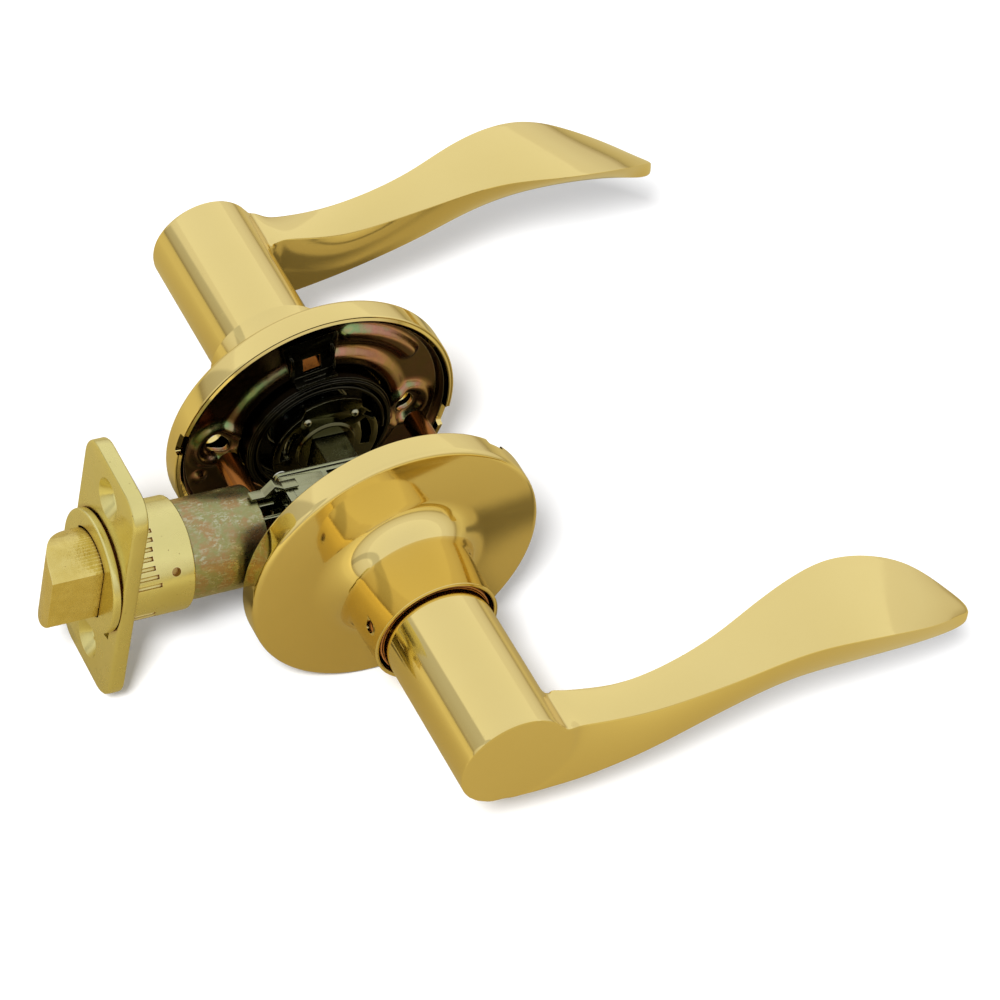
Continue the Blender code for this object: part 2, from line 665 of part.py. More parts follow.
def retractor(name):
    """Fork in the case: a crossbar that the bolt's tail hangs on, rails each side of the hub,
    and two lips that the cam arms push."""
    back = -1.3                          # rear ends of the rails and lips
    step = -18.5                         # the rails step outwards behind this
    obj = block(name, (-38.0, -36.6), (-2.7, 2.7), (-5.4, 5.4))
    for z_sign in (-1, 1):
        near_z = sorted((3.4 * z_sign, 5.4 * z_sign))
        wall_z = sorted((3.4 * z_sign, 8.9 * z_sign))
        far_z = sorted((7.2 * z_sign, 8.9 * z_sign))
        lip_z = sorted((8.4 * z_sign, 10.6 * z_sign))
        join(obj, block("lip", (-2.9, back), (-2.9, 2.9), lip_z))
        for y_sign in (-1, 1):
            rail_y = sorted((1.9 * y_sign, 2.7 * y_sign))
            wide_y = sorted((1.9 * y_sign, 2.9 * y_sign))
            join(obj, block("front_rail", (-37.0, step), rail_y, near_z))
            join(obj, block("wall", (step - 1.8, step), wide_y, wall_z))
            join(obj, block("rear_rail", (step - 1.8, back), wide_y, far_z))
    cut(obj, block("tail_slot", (-39.0, -36.0), (-0.9, 0.9), (2.9, 4.9)))
    return obj


def spring_seat(name):
    """Washer inside the tube that the bolt's spring pushes against."""
    return tube(name, TUBE_BORE - GAP, 6.35, -33.4, -32.6, "X", MEDIUM)


def build_latch(case, hub, slide, bolt):
    place(faceplate("faceplate"), case, worn_brass)
    place(latch_collar("latch_collar"), case, worn_brass)
    place(tube("latch_tube", TUBE_R, TUBE_BORE, -59.6, -26.0, "X"), case, dichromate_steel)
    place(latch_case_body("latch_case_body"), case, galvanised_steel)
    place(case_plate("latch_case_cover", CASE_Y - SHEET, CASE_Y), case, galvanised_steel)
    for number, rivet_place in enumerate(CASE_RIVETS, start=1):
        place(case_rivet(f"case_rivet_{number}", rivet_place), case, bright_steel)
    place(spring_seat("spring_seat"), case, bright_steel)
    place(tail_clip("tail_clip"), case, bright_steel)
    spring = coil("bolt_spring", BOLT_SPRING_R, BOLT_WIRE_R, -57.7, -34.2, 7, "X", steps=10)
    place(spring, case, bright_steel)
    place(latch_hub("latch_hub"), hub, galvanised_steel)
    place(retractor("retractor"), slide, galvanised_steel)
    place(latch_bolt("latch_bolt"), bolt, worn_brass)
    place(bolt_tail("bolt_tail"), bolt, galvanised_steel)


# ---------------------------------------------------------------- assembly

def build():
    lockset = empty("lockset", location=(SPINDLE_X, 0.0, 0.0))
    front_axis = empty("front_handle_axis", lockset)
    rear_axis = empty("rear_handle_axis", lockset)
    front_catch = empty("front_catch_slide", front_axis)
    rear_catch = empty("rear_catch_slide", rear_axis)
    latch = empty("latch_slide", lockset, (0.0, LATCH_Y, 0.0))
    hub = empty("latch_hub_axis", latch)
    slide = empty("retractor_slide", latch)
    bolt = empty("bolt_slide", slide)

    build_fixed_half("front", -1, lockset, (51, 231))
    build_fixed_half("rear", 1, lockset, (-8, 172))
    for word, post_x in (("left", -POST_X), ("right", POST_X)):
        place(mount_half(post("threaded_post_" + word, post_x), -1), lockset, copper_steel)
    build_turning_half("front", -1, front_axis, front_catch)
    build_turning_half("rear", 1, rear_axis, rear_catch)
    place(spindle("spindle"), front_axis, galvanised_steel)
    build_latch(latch, hub, slide, bolt)


build()
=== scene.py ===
"""Looks of the lever handle lockset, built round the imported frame.

Shapes are worked out in millimetres. A half's pieces use (x, out, z): x and z from the spindle's
axis, "out" from the door's face towards the lever. The latch's pieces use (x, y, z) from the
point where the spindle's axis crosses the latch's own. set_down() moves a finished piece into
the frame, where the CAD nodes say those places are."""

import math

import bmesh
import bpy
from mathutils import Matrix, Vector


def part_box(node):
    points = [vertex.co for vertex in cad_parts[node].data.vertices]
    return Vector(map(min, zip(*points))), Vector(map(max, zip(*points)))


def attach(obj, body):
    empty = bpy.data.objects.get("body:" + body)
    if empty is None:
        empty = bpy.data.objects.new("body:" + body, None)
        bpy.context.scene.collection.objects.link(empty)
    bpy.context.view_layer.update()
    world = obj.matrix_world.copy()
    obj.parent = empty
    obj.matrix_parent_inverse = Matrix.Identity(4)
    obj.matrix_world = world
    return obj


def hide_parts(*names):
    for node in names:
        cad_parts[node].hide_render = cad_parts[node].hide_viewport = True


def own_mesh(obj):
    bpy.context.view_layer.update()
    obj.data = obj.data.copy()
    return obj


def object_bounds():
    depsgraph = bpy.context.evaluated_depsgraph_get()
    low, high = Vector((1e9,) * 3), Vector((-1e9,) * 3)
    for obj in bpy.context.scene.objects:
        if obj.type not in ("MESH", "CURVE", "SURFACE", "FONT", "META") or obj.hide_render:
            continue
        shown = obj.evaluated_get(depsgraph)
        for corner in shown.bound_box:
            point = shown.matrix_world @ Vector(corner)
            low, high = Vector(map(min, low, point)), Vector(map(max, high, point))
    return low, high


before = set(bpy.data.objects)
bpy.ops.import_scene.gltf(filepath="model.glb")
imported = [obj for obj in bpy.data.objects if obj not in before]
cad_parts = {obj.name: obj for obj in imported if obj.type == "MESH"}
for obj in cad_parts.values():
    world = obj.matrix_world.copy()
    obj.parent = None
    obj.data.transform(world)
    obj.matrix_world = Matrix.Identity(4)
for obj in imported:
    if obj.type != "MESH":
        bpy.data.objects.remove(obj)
cad_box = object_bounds()

MM = 0.001
TAU = math.tau

# ---------------------------------------------------------------- places, from the frame

spindle_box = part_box("spindle")
AXIS = (spindle_box[0] + spindle_box[1]) / 2
FRONT_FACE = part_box("front_rose")[1].y               # the door's faces, where the roses sit
REAR_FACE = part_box("rear_rose")[0].y
latch_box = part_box("latch_tube")
LATCH = Vector((AXIS.x, (latch_box[0].y + latch_box[1].y) / 2, AXIS.z))

HALVES = {
    "front": Matrix.Translation((AXIS.x, FRONT_FACE, AXIS.z)) @ Matrix.Diagonal((1, -1, 1, 1)),
    "rear": Matrix.Translation((AXIS.x, REAR_FACE, AXIS.z)),
}
LATCH_PLACE = Matrix.Translation(LATCH)
SPINDLE_PLACE = Matrix.Translation(AXIS)

# ---------------------------------------------------------------- sizes, in millimetres

ROSE_R = 32.5
ROSE_RIM = 5.9
FLARE_R = 6.2                            # where the rose's face turns into its collar
FLARE_OUT = 6.75
COLLAR_R = 14.0
COLLAR_BORE = 12.95
COLLAR_OUT = 24.9
PIN_OUT = 20.9                           # the pin hole, and the catch's button behind it
PIN_Z = 1.7
PLATE_R = 30.4
BEAD_R = 26.0                            # the plate's long bead: its radius, and degrees round
BEAD_MIDDLE = 59.5
BEAD_HALF = 20.5
CLIP_TURN = -11.0                        # degrees the rose clip stands off the top
HOUSING_R = 16.8
DRIVER_R = 13.8
SLEEVE_R = 9.0
SLEEVE_BORE = 7.85
SHANK_R = 11.9
SHANK_BORE = 9.3
SHANK_START = 7.5
SHANK_OUT = 61.4
CATCH_HOLE_R = 1.5
POST_X = 22.0
HOLE_R = 2.4
SPINDLE_HALF = 3.75
SQUARE_HALF = 4.05                       # square holes that take the spindle
DRIVER_RIVET = (5.5, 8.6)                # either side of the middle, and above it
DRIVER_RIVET_R = 0.95

BACKSET = 60.0
PLATE_WIDE = 25.4
PLATE_TALL = 57.15
PLATE_THICK = 3.4
FACE_HOLE_Z = 20.6
BOLT_R = 9.3
BOLT_FLAT = 6.7
BOLT_TIP = 73.1
TUBE_R = 10.5
LATCH_COLLAR_R = 12.0
LATCH_COLLAR_END = -43.4
FLANGE_R = 13.1
RIBS = 16                                # pressed into each side of the latch collar
CASE_Y = 4.05
CASE_Z = 12.0
SHEET = 0.8
CASE_RIVETS = ((-18.6, 10.2), (-18.6, -10.2), (16.6, 9.2), (16.6, -9.2))
SPRING_SEAT = -34.2

# The grip's corners at stations along the lever: distance from the spindle axis, then
# (out, height) of the inner top, outer top, outer low and inner low edges.
GRIP = (
    (0.0, (51.4, 8.0), (60.6, 8.0), (61.4, -11.9), (50.3, -10.8)),
    (13.0, (51.6, 6.2), (60.2, 4.9), (61.7, -11.8), (50.0, -10.5)),
    (30.0, (51.7, 3.6), (60.8, 3.8), (62.2, -7.8), (50.0, -7.0)),
    (48.0, (50.2, 7.8), (62.0, 7.5), (61.2, -2.4), (50.8, -2.0)),
    (64.0, (46.6, 14.5), (64.2, 14.0), (60.2, 1.1), (51.9, 3.5)),
    (80.0, (43.3, 16.0), (65.3, 14.5), (60.1, 1.7), (51.5, 6.4)),
    (97.0, (46.0, 12.4), (61.8, 8.6), (58.9, 0.4), (51.1, 5.2)),
    (108.0, (52.9, 5.6), (57.3, 3.8), (57.3, -0.5), (52.0, 2.0)),
    (110.6, (54.9, 3.3), (56.2, 2.7), (56.6, 0.2), (54.2, 1.2)),
)


# ---------------------------------------------------------------- mesh tools

def set_down(obj, place, body, node, finish, smooth=38.0):
    """Moves a finished piece from millimetres into the frame and lets it ride on its body, in
    place of its CAD node if it has one. A finish is a material and the slot it stands for; the
    slot is not used."""
    material, slot = finish
    matrix = place @ Matrix.Scale(MM, 4)
    obj.data.transform(matrix)
    if matrix.determinant() < 0:
        obj.data.flip_normals()
    obj.data.materials.clear()
    obj.data.materials.append(material)
    obj.data.shade_smooth()
    obj.data.set_sharp_from_angle(angle=math.radians(smooth))
    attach(obj, body)
    if node:
        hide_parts(node)


def set_half(obj, label, body, node, finish, smooth=38.0):
    """Sets a piece of the front or rear half down. The node is named without its half."""
    set_down(obj, HALVES[label], body, f"{label}_{node}" if node else None, finish, smooth)


def from_bmesh(name, work):
    bmesh.ops.recalc_face_normals(work, faces=work.faces)
    mesh = bpy.data.meshes.new(name)
    work.to_mesh(mesh)
    work.free()
    obj = bpy.data.objects.new(name, mesh)
    bpy.context.scene.collection.objects.link(obj)
    return obj


def solid(name, verts, faces):
    work = bmesh.new()
    made = [work.verts.new(v) for v in verts]
    for face in faces:
        work.faces.new([made[i] for i in face])
    return from_bmesh(name, work)


def along_axis(axis, along, a, b):
    """A point at 'along' on the axis, offset a and b on the next two axes of the cycle."""
    if axis == "X":
        return (along, a, b)
    if axis == "Y":
        return (a, along, b)
    return (a, b, along)


def arc(radius, start, end, count, centre=(0.0, 0.0)):
    points = []
    for i in range(count + 1):
        angle = math.radians(start + (end - start) * i / count)
        points.append((centre[0] + radius * math.cos(angle), centre[1] + radius * math.sin(angle)))
    return points


def rounded(corners, steps=4):
    """A closed outline whose corners (a, b, radius) are rounded off."""
    points = []
    for i, (a, b, radius) in enumerate(corners):
        here = Vector((a, b))
        if radius <= 0:
            points.append((a, b))
            continue
        before = Vector(corners[i - 1][:2]) - here
        after = Vector(corners[(i + 1) % len(corners)][:2]) - here
        half = before.angle(after) / 2
        back = min(radius / math.tan(half), before.length * 0.49, after.length * 0.49)
        start, end = here + before.normalized() * back, here + after.normalized() * back
        for k in range(steps + 1):
            t = k / steps
            points.append(tuple(start.lerp(here, t).lerp(here.lerp(end, t), t)))
    return points


def turned(name, profile, axis="Y", steps=96, centre=(0.0, 0.0)):
    """A closed outline of (radius, place on the axis) turned once round the axis."""
    verts, rings = [], []
    for radius, along in profile:
        if radius == 0:
            rings.append([len(verts)] * steps)
            verts.append(along_axis(axis, along, *centre))
            continue
        rings.append(list(range(len(verts), len(verts) + steps)))
        for i in range(steps):
            angle = TAU * (i + 0.5) / steps
            a = centre[0] + radius * math.cos(angle)
            b = centre[1] + radius * math.sin(angle)
            verts.append(along_axis(axis, along, a, b))
    faces = []
    for k, ring in enumerate(rings):
        other = rings[(k + 1) % len(rings)]
        for i in range(steps):
            j = (i + 1) % steps
            corners = list(dict.fromkeys((ring[i], ring[j], other[j], other[i])))
            if len(corners) > 2:
                faces.append(corners)
    return solid(name, verts, faces)


def rod(name, radius, start, end, axis="Y", steps=48, centre=(0.0, 0.0)):
    return turned(name, ((0, start), (radius, start), (radius, end), (0, end)), axis, steps, centre)


def slab(name, outline, start, end, axis):
    """A flat outline of (a, b) points given thickness along the axis."""
    count = len(outline)
    verts = [along_axis(axis, start, *p) for p in outline]
    verts += [along_axis(axis, end, *p) for p in outline]
    faces = [list(range(count)), list(range(count, 2 * count))]
    for i in range(count):
        j = (i + 1) % count
        faces.append([i, j, count + j, count + i])
    return solid(name, verts, faces)


def block(name, x, y, z):
    return slab(name, ((x[0], y[0]), (x[1], y[0]), (x[1], y[1]), (x[0], y[1])), z[0], z[1], "Z")


def bake(obj):
    """Keeps what the modifiers make of the mesh, and removes them."""
    graph = bpy.context.evaluated_depsgraph_get()
    baked = bpy.data.meshes.new_from_object(obj.evaluated_get(graph))
    obj.modifiers.clear()
    obj.data = baked
    return obj


def combine(obj, tool, operation):
    modifier = obj.modifiers.new(operation, "BOOLEAN")
    modifier.operation = operation
    modifier.solver = "EXACT"
    modifier.object = tool
    bake(obj)
    bpy.data.objects.remove(tool)


def cut(obj, tool):
    combine(obj, tool, "DIFFERENCE")


def join(obj, tool):
    combine(obj, tool, "UNION")


def soften(obj, width, segments=2, angle=40.0):
    """Rounds the sharp edges of a finished shape."""
    modifier = obj.modifiers.new("soften", "BEVEL")
    modifier.width = width
    modifier.segments = segments
    modifier.limit_method = "ANGLE"
    modifier.angle_limit = math.radians(angle)
    modifier.use_clamp_overlap = True
    return bake(obj)


def subdivided(obj, levels):
    modifier = obj.modifiers.new("smooth", "SUBSURF")
    modifier.levels = levels
    modifier.render_levels = levels
    return bake(obj)


def coil(name, radius, wire, start, end, turns, axis, steps, sides, closed=1.0):
    """A round wire wound round the axis. Its coils lie closer towards both ends, or wider apart
    if closed is negative."""
    verts, faces = [], []
    count = round(turns * steps)
    for i in range(count + 1):
        t = i / count
        risen = t - closed * 0.035 * math.sin(TAU * t)
        angle = TAU * i / steps
        for k in range(sides):
            around = TAU * k / sides
            out = radius + wire * math.cos(around)
            along = start + (end - start) * risen + wire * math.sin(around)
            verts.append(along_axis(axis, along, out * math.cos(angle), out * math.sin(angle)))
    for i in range(count):
        for k in range(sides):
            j = (k + 1) % sides
            a, b = i * sides, (i + 1) * sides
            faces.append([a + k, a + j, b + j, b + k])
    faces.append(list(range(sides)))
    faces.append(list(range(count * sides, (count + 1) * sides)))
    return solid(name, verts, faces)


def fill_patch(work, loop, across, down):
    """Fills a closed loop with an even grid: sides of across, down, across and down edges."""
    top = loop[:across + 1]
    right = loop[across:across + down + 1]
    low = loop[across + down:2 * across + down + 1][::-1]
    left = (loop[2 * across + down:] + loop[:1])[::-1]
    grid = [[None] * (across + 1) for _ in range(down + 1)]
    for j in range(down + 1):
        for i in range(across + 1):
            if j == 0:
                grid[j][i] = top[i]
            elif j == down:
                grid[j][i] = low[i]
            elif i == 0:
                grid[j][i] = left[j]
            elif i == across:
                grid[j][i] = right[j]
            else:
                u, v = i / across, j / down
                sides = top[i].co * (1 - v) + low[i].co * v + left[j].co * (1 - u) + right[j].co * u
                ends = (top[0].co * (1 - u) + top[-1].co * u) * (1 - v)
                ends += (low[0].co * (1 - u) + low[-1].co * u) * v
                grid[j][i] = work.verts.new(sides - ends)
    for j in range(down):
        for i in range(across):
            work.faces.new((grid[j][i], grid[j][i + 1], grid[j + 1][i + 1], grid[j + 1][i]))


# ---------------------------------------------------------------- materials

class Nodes:
    """The node tree of a material or world, with short calls to add and join nodes."""

    def __init__(self, owner):
        owner.use_nodes = True
        self.owner = owner
        self.tree = owner.node_tree

    def put(self, socket, value):
        """Links another node's output to the socket, or sets a plain value or colour."""
        if isinstance(value, bpy.types.NodeSocket):
            self.tree.links.new(value, socket)
        elif socket.type == "RGBA":
            socket.default_value = (*value, 1.0)
        else:
            socket.default_value = value

    def add(self, kind, inputs=None, **settings):
        node = self.tree.nodes.new(kind)
        for key, value in settings.items():
            setattr(node, key, value)
        for key, value in (inputs or {}).items():
            self.put(node.inputs[key], value)
        return node

    def sum(self, *values, kind="ADD"):
        """One value after another added up, or joined as kind says."""
        total = values[0]
        for value in values[1:]:
            total = self.add("ShaderNodeMath", {0: total, 1: value}, operation=kind).outputs[0]
        return total

    def ramp(self, value, *stops):
        """Colours (or greys) at places between 0 and 1."""
        node = self.add("ShaderNodeValToRGB", {"Fac": value})
        elements = node.color_ramp.elements
        while len(elements) < len(stops):
            elements.new(0.5)
        for element, (position, colour) in zip(elements, stops):
            element.position = position
            rgb = colour if isinstance(colour, tuple) else (colour, colour, colour)
            element.color = (*rgb, 1.0)
        return node.outputs["Color"]

    def mix(self, factor, a, b, blend="MIX"):
        inputs = {0: factor, 6: a, 7: b}
        return self.add("ShaderNodeMix", inputs, data_type="RGBA", blend_type=blend).outputs[2]


class Surface(Nodes):
    """A material, with textures in the object's own coordinates."""

    def __init__(self, name):
        super().__init__(bpy.data.materials.new(name))
        self.place = self.add("ShaderNodeTexCoord").outputs["Object"]

    def noise(self, scale, detail=4.0, rough=0.55, stretch=(1, 1, 1)):
        """Noise with so many features to the millimetre, stretched along the axes."""
        moved = self.add("ShaderNodeMapping", {"Vector": self.place, "Scale": stretch}).outputs[0]
        inputs = {"Vector": moved, "Scale": scale / MM, "Detail": detail, "Roughness": rough}
        return self.add("ShaderNodeTexNoise", inputs).outputs["Fac"]

    def cells(self, scale, output="Distance"):
        inputs = {"Vector": self.place, "Scale": scale / MM}
        return self.add("ShaderNodeTexVoronoi", inputs).outputs[output]

    def bump(self, height, strength, depth, under=None):
        inputs = {"Height": height, "Strength": strength, "Distance": depth * MM}
        if under is not None:
            inputs["Normal"] = under
        return self.add("ShaderNodeBump", inputs).outputs["Normal"]

    def edges(self, radius):
        """1 where an edge is near, for wear; on the dark steels also for a painted edge highlight."""
        bevel = self.add("ShaderNodeBevel", {"Radius": radius * MM}, samples=6).outputs[0]
        normal = self.add("ShaderNodeNewGeometry").outputs["Normal"]
        inputs = {0: bevel, 1: normal}
        alike = self.add("ShaderNodeVectorMath", inputs, operation="DOT_PRODUCT").outputs["Value"]
        return self.ramp(alike, (0.75, 1.0), (0.98, 0.0))

    def creases(self, reach, full=0.25, none=0.80):
        """1 in a gap that sees less open sky than full, falling to 0 at none, for stains and for
        painted shade.
        """
        inputs = {"Distance": reach * MM}
        open_sky = self.add("ShaderNodeAmbientOcclusion", inputs, samples=6).outputs["AO"]
        return self.ramp(open_sky, (full, 1.0), (none, 0.0))

    def finish(self, colour, roughness, metallic=1.0, normal=None):
        values = {"Base Color": colour, "Roughness": roughness, "Metallic": metallic}
        if normal is not None:
            values["Normal"] = normal
        for key, value in values.items():
            self.put(self.tree.nodes["Principled BSDF"].inputs[key], value)
        return self.owner


STAIN = (0.30, 0.12, 0.03)               # reddish brown left in the latch's creases


def polished_brass():
    n = Surface("polished_brass")
    cloud = n.noise(0.035, 3)
    colour = n.mix(cloud, (0.785, 0.625, 0.245), (0.835, 0.68, 0.295))
    # painted shade: polished brass turns nearly black in narrow gaps that see little open sky
    colour = n.mix(n.creases(2.5, 0.10, 0.24), colour, (0.03, 0.02, 0.008))
    haze = n.ramp(n.noise(0.12, 5), (0.35, 0.055), (0.75, 0.10))
    scratches = n.ramp(n.noise(0.5, 2, 0.5, (0.06, 1.0, 1.0)), (0.62, 0.0), (0.68, 0.05))
    roughness = n.mix(1.0, haze, scratches, "ADD")
    normal = n.bump(n.noise(0.05, 2), 0.10, 0.3)
    return n.finish(colour, roughness, normal=normal)


def cast_brass():
    """The bolt: a lightly tumbled casting, pitted, dark in the pits."""
    n = Surface("cast_brass")
    grain = n.noise(2.2, 6, 0.65)
    pits = n.ramp(n.noise(1.7, 3, 0.6), (0.25, 0.0), (0.31, 1.0))
    tone = n.mix(n.noise(0.35, 5, 0.65), (0.60, 0.45, 0.10), (0.84, 0.70, 0.27))
    colour = n.mix(pits, (0.30, 0.19, 0.06), tone)
    worn = n.mix(n.edges(0.35), colour, (0.88, 0.76, 0.38))
    worn = n.mix(n.creases(1.6), worn, STAIN)
    roughness = n.ramp(grain, (0.3, 0.16), (0.7, 0.34))
    lumps = n.bump(n.noise(0.45, 3), 0.5, 0.35)
    normal = n.bump(pits, 0.25, 0.06, n.bump(grain, 0.13, 0.08, lumps))
    return n.finish(worn, roughness, normal=normal)


def satin_brass():
    """Faceplate and collar: plated sheet, soft shine with a few dark specks."""
    n = Surface("satin_brass")
    grain = n.noise(1.4, 5, 0.6)
    specks = n.ramp(n.cells(0.55), (0.045, 0.0), (0.075, 1.0))
    tone = n.mix(n.noise(0.09, 4), (0.68, 0.61, 0.235), (0.80, 0.71, 0.32))
    colour = n.mix(specks, (0.28, 0.18, 0.06), tone)
    worn = n.mix(n.edges(0.4), colour, (0.90, 0.79, 0.44))
    worn = n.mix(n.creases(1.6), worn, STAIN)
    roughness = n.ramp(n.noise(0.3, 5), (0.3, 0.17), (0.75, 0.33))
    normal = n.bump(grain, 0.16, 0.06, n.bump(n.noise(0.16, 2), 0.22, 0.4))
    return n.finish(worn, roughness, normal=normal)


def dichromate():
    """Yellow dichromate on steel: gold, pink and green clouds over grey, and painted shade, nearly
    black, on whatever doesn't face up."""
    n = Surface("liner_dichromate")
    angle = n.add("ShaderNodeLayerWeight", {"Blend": 0.35}).outputs["Facing"]
    cloud = n.noise(0.11, 5, 0.6)
    film = n.add("ShaderNodeMath", {0: n.sum(cloud, angle, 0.10)}, operation="FRACT").outputs[0]
    sheen = n.ramp(film, (0.0, (0.40, 0.25, 0.08)), (0.22, (0.55, 0.19, 0.19)),
                   (0.42, (0.48, 0.30, 0.12)), (0.60, (0.20, 0.36, 0.15)), (0.80, (0.52, 0.22, 0.17)),
                   (1.0, (0.40, 0.25, 0.08)))
    grey = n.ramp(n.noise(0.9, 6, 0.7), (0.3, (0.22, 0.19, 0.12)), (0.7, (0.42, 0.38, 0.26)))
    colour = n.mix(0.22, sheen, grey)
    # painted shade: the colour darkened nearly to black, used on faces that don't look up
    painted_shade = n.mix(0.80, colour, (0.030, 0.020, 0.008))
    normal = n.add("ShaderNodeNewGeometry").outputs["Normal"]
    upward = n.add("ShaderNodeSeparateXYZ", {0: normal}).outputs["Z"]
    colour = n.mix(n.ramp(upward, (0.03, 0.0), (0.32, 1.0)), painted_shade, colour)
    worn = n.mix(n.edges(0.3), colour, (0.62, 0.60, 0.48))
    roughness = n.ramp(n.noise(0.7, 5), (0.3, 0.14), (0.7, 0.27))
    bumps = n.bump(n.noise(1.6, 4), 0.08, 0.05, n.bump(n.noise(0.15, 2), 0.2, 0.3))
    return n.finish(worn, roughness, normal=bumps)


def mottled_tube():
    """The latch tube: dull dichromate with a bright crystal mottle, dark at the collar's edge."""
    n = Surface("mottled_tube")
    cloud = n.noise(0.16, 5, 0.65)
    tint = n.ramp(cloud, (0.25, (0.31, 0.27, 0.10)), (0.40, (0.42, 0.27, 0.13)),
                  (0.52, (0.33, 0.34, 0.15)), (0.64, (0.43, 0.29, 0.15)), (0.8, (0.29, 0.32, 0.12)))
    flecks = n.ramp(n.noise(1.6, 3, 0.8, (0.55, 1.0, 1.0)), (0.50, 0.0), (0.58, 1.0))
    patches = n.ramp(n.noise(0.3, 3), (0.35, 0.15), (0.65, 1.0))
    crystal = n.mix(1.0, flecks, patches, "MULTIPLY")
    colour = n.mix(crystal, tint, (0.50, 0.49, 0.34))
    along = n.add("ShaderNodeSeparateXYZ", {0: n.place}).outputs["X"]
    past = n.sum(n.sum(along, -LATCH_COLLAR_END * MM - LATCH.x), 1 / MM, kind="MULTIPLY")
    colour = n.mix(n.ramp(past, (0.25, 1.0), (0.7, 0.0)), colour, (0.05, 0.022, 0.008))
    roughness = n.mix(crystal, (0.34, 0.34, 0.34), (0.20, 0.20, 0.20))
    normal = n.bump(n.noise(1.3, 4, 0.7), 0.14, 0.05, n.bump(n.noise(0.2, 2), 0.2, 0.3))
    return n.finish(colour, roughness, normal=normal)


def galvanised():
    n = Surface("galvanised")
    spangle = n.cells(0.28, "Color")
    grey = n.mix(0.10, (0.33, 0.335, 0.20), spangle, "OVERLAY")
    grey = n.mix(0.75, grey, (0.33, 0.335, 0.20))
    drawn = n.noise(1.6, 4, 0.6, (0.08, 1.0, 1.0))
    colour = n.mix(n.ramp(drawn, (0.35, 0.0), (0.7, 0.45)), grey, (0.40, 0.405, 0.28))
    worn = n.mix(n.edges(0.25), colour, (0.60, 0.62, 0.50))
    roughness = n.ramp(n.noise(0.5, 5), (0.3, 0.16), (0.7, 0.30))
    return n.finish(worn, roughness, normal=n.bump(drawn, 0.10, 0.05))


def dark_steel(name, low, high, edge):
    """Blackened or olive plating with an oily shine, and lighter edges that are partly wear and
    partly a painted edge highlight.
    """
    n = Surface(name)
    colour = n.mix(n.noise(0.22, 5, 0.6), low, high)
    # lighter edges: wear and a painted edge highlight together
    worn = n.mix(n.edges(0.3), colour, edge)
    roughness = n.ramp(n.noise(0.6, 5), (0.3, 0.10), (0.75, 0.26))
    normal = n.bump(n.noise(0.5, 3), 0.10, 0.08)
    return n.finish(worn, roughness, 1.0, normal)


def bright_zinc():
    n = Surface("bright_zinc")
    brushed = n.noise(1.2, 5, 0.6, (1.0, 0.15, 1.0))
    colour = n.mix(brushed, (0.52, 0.53, 0.47), (0.70, 0.70, 0.62))
    roughness = n.ramp(n.noise(0.5, 4), (0.3, 0.14), (0.7, 0.30))
    return n.finish(colour, roughness, normal=n.bump(brushed, 0.10, 0.04))


def copper_steel():
    n = Surface("copper_plating")
    colour = n.mix(n.noise(0.2, 4), (0.40, 0.14, 0.03), (0.22, 0.09, 0.025))
    drawn = n.noise(1.5, 4, 0.6, (1.0, 0.1, 1.0))
    return n.finish(colour, n.ramp(drawn, (0.3, 0.12), (0.7, 0.24)), normal=n.bump(drawn, 0.12, 0.05))


def nylon():
    n = Surface("brown_nylon")
    colour = n.mix(n.noise(0.3, 4), (0.24, 0.08, 0.015), (0.38, 0.14, 0.025))
    roughness = n.ramp(n.noise(0.8, 4), (0.3, 0.30), (0.7, 0.45))
    return n.finish(colour, roughness, 0.0, n.bump(n.noise(2.0, 4), 0.1, 0.05))


# Each finish is a material and the name of the slot it stands for.
BRASS = polished_brass(), "polished_brass"
CAST = cast_brass(), "worn_brass"
SATIN = satin_brass(), "worn_brass"
LINER = dichromate(), "dichromate_steel"
TUBE = mottled_tube(), "dichromate_steel"
GALVANISED = galvanised(), "galvanised_steel"
BLACK = dark_steel(
    "black_steel", (0.018, 0.017, 0.012), (0.040, 0.036, 0.024), (0.42, 0.41, 0.33)), "black_steel"
OLIVE = dark_steel(
    "olive_steel", (0.065, 0.060, 0.030), (0.13, 0.12, 0.06), (0.50, 0.50, 0.34)), "olive_steel"
# rivet heads: pale steel, made lighter still as a painted highlight on their small domes
RIVET = dark_steel(
    "rivet_steel", (0.30, 0.29, 0.20), (0.42, 0.41, 0.30), (0.60, 0.60, 0.46)), "bright_steel"
ZINC = bright_zinc(), "bright_steel"
COPPER = copper_steel(), "copper_steel"
NYLON = nylon(), "brown_nylon"


# ---------------------------------------------------------------- lever

def grip_corners(x):
    """Outer top, inner top, inner low and outer low corners at x, on a smooth curve."""
    stations = [s[0] for s in GRIP]
    k = 0
    while k < len(stations) - 2 and stations[k + 1] < x:
        k += 1
    span = stations[k + 1] - stations[k]
    t = (x - stations[k]) / span
    before, after = max(k - 1, 0), min(k + 2, len(GRIP) - 1)
    corners = []
    for c in (2, 1, 4, 3):
        p0, p1, p2, p3 = (Vector(GRIP[i][c]) for i in (before, k, k + 1, after))
        m1 = (p2 - p0) * span / (stations[k + 1] - stations[before])
        m2 = (p3 - p1) * span / (stations[after] - stations[k])
        a = 2 * t ** 3 - 3 * t ** 2 + 1
        b = t ** 3 - 2 * t ** 2 + t
        corners.append(a * p1 + b * m1 + (1 - a) * p2 + (t ** 3 - t ** 2) * m2)
    return corners


COLUMNS = 24                             # facets of the shank's cage
SIDES = (4, 8, 4, 8)                     # cage edges on the arm's top, inner, low and outer sides
CROWN = (0.45, 0.5, 0.3, 0.55)           # how far each side bulges
CAGE = 3 / (2 + math.cos(TAU / COLUMNS))  # a smoothed ring shrinks, so its cage starts larger
ARM_FROM = 50.6                          # the arm's opening reaches from here to the shank's end
ARM_STATIONS = (15, 20, 26, 32, 38.5, 45, 51.5, 58, 64.5, 71, 77.5, 84, 90.5, 97, 102, 106, 109, 110.6)


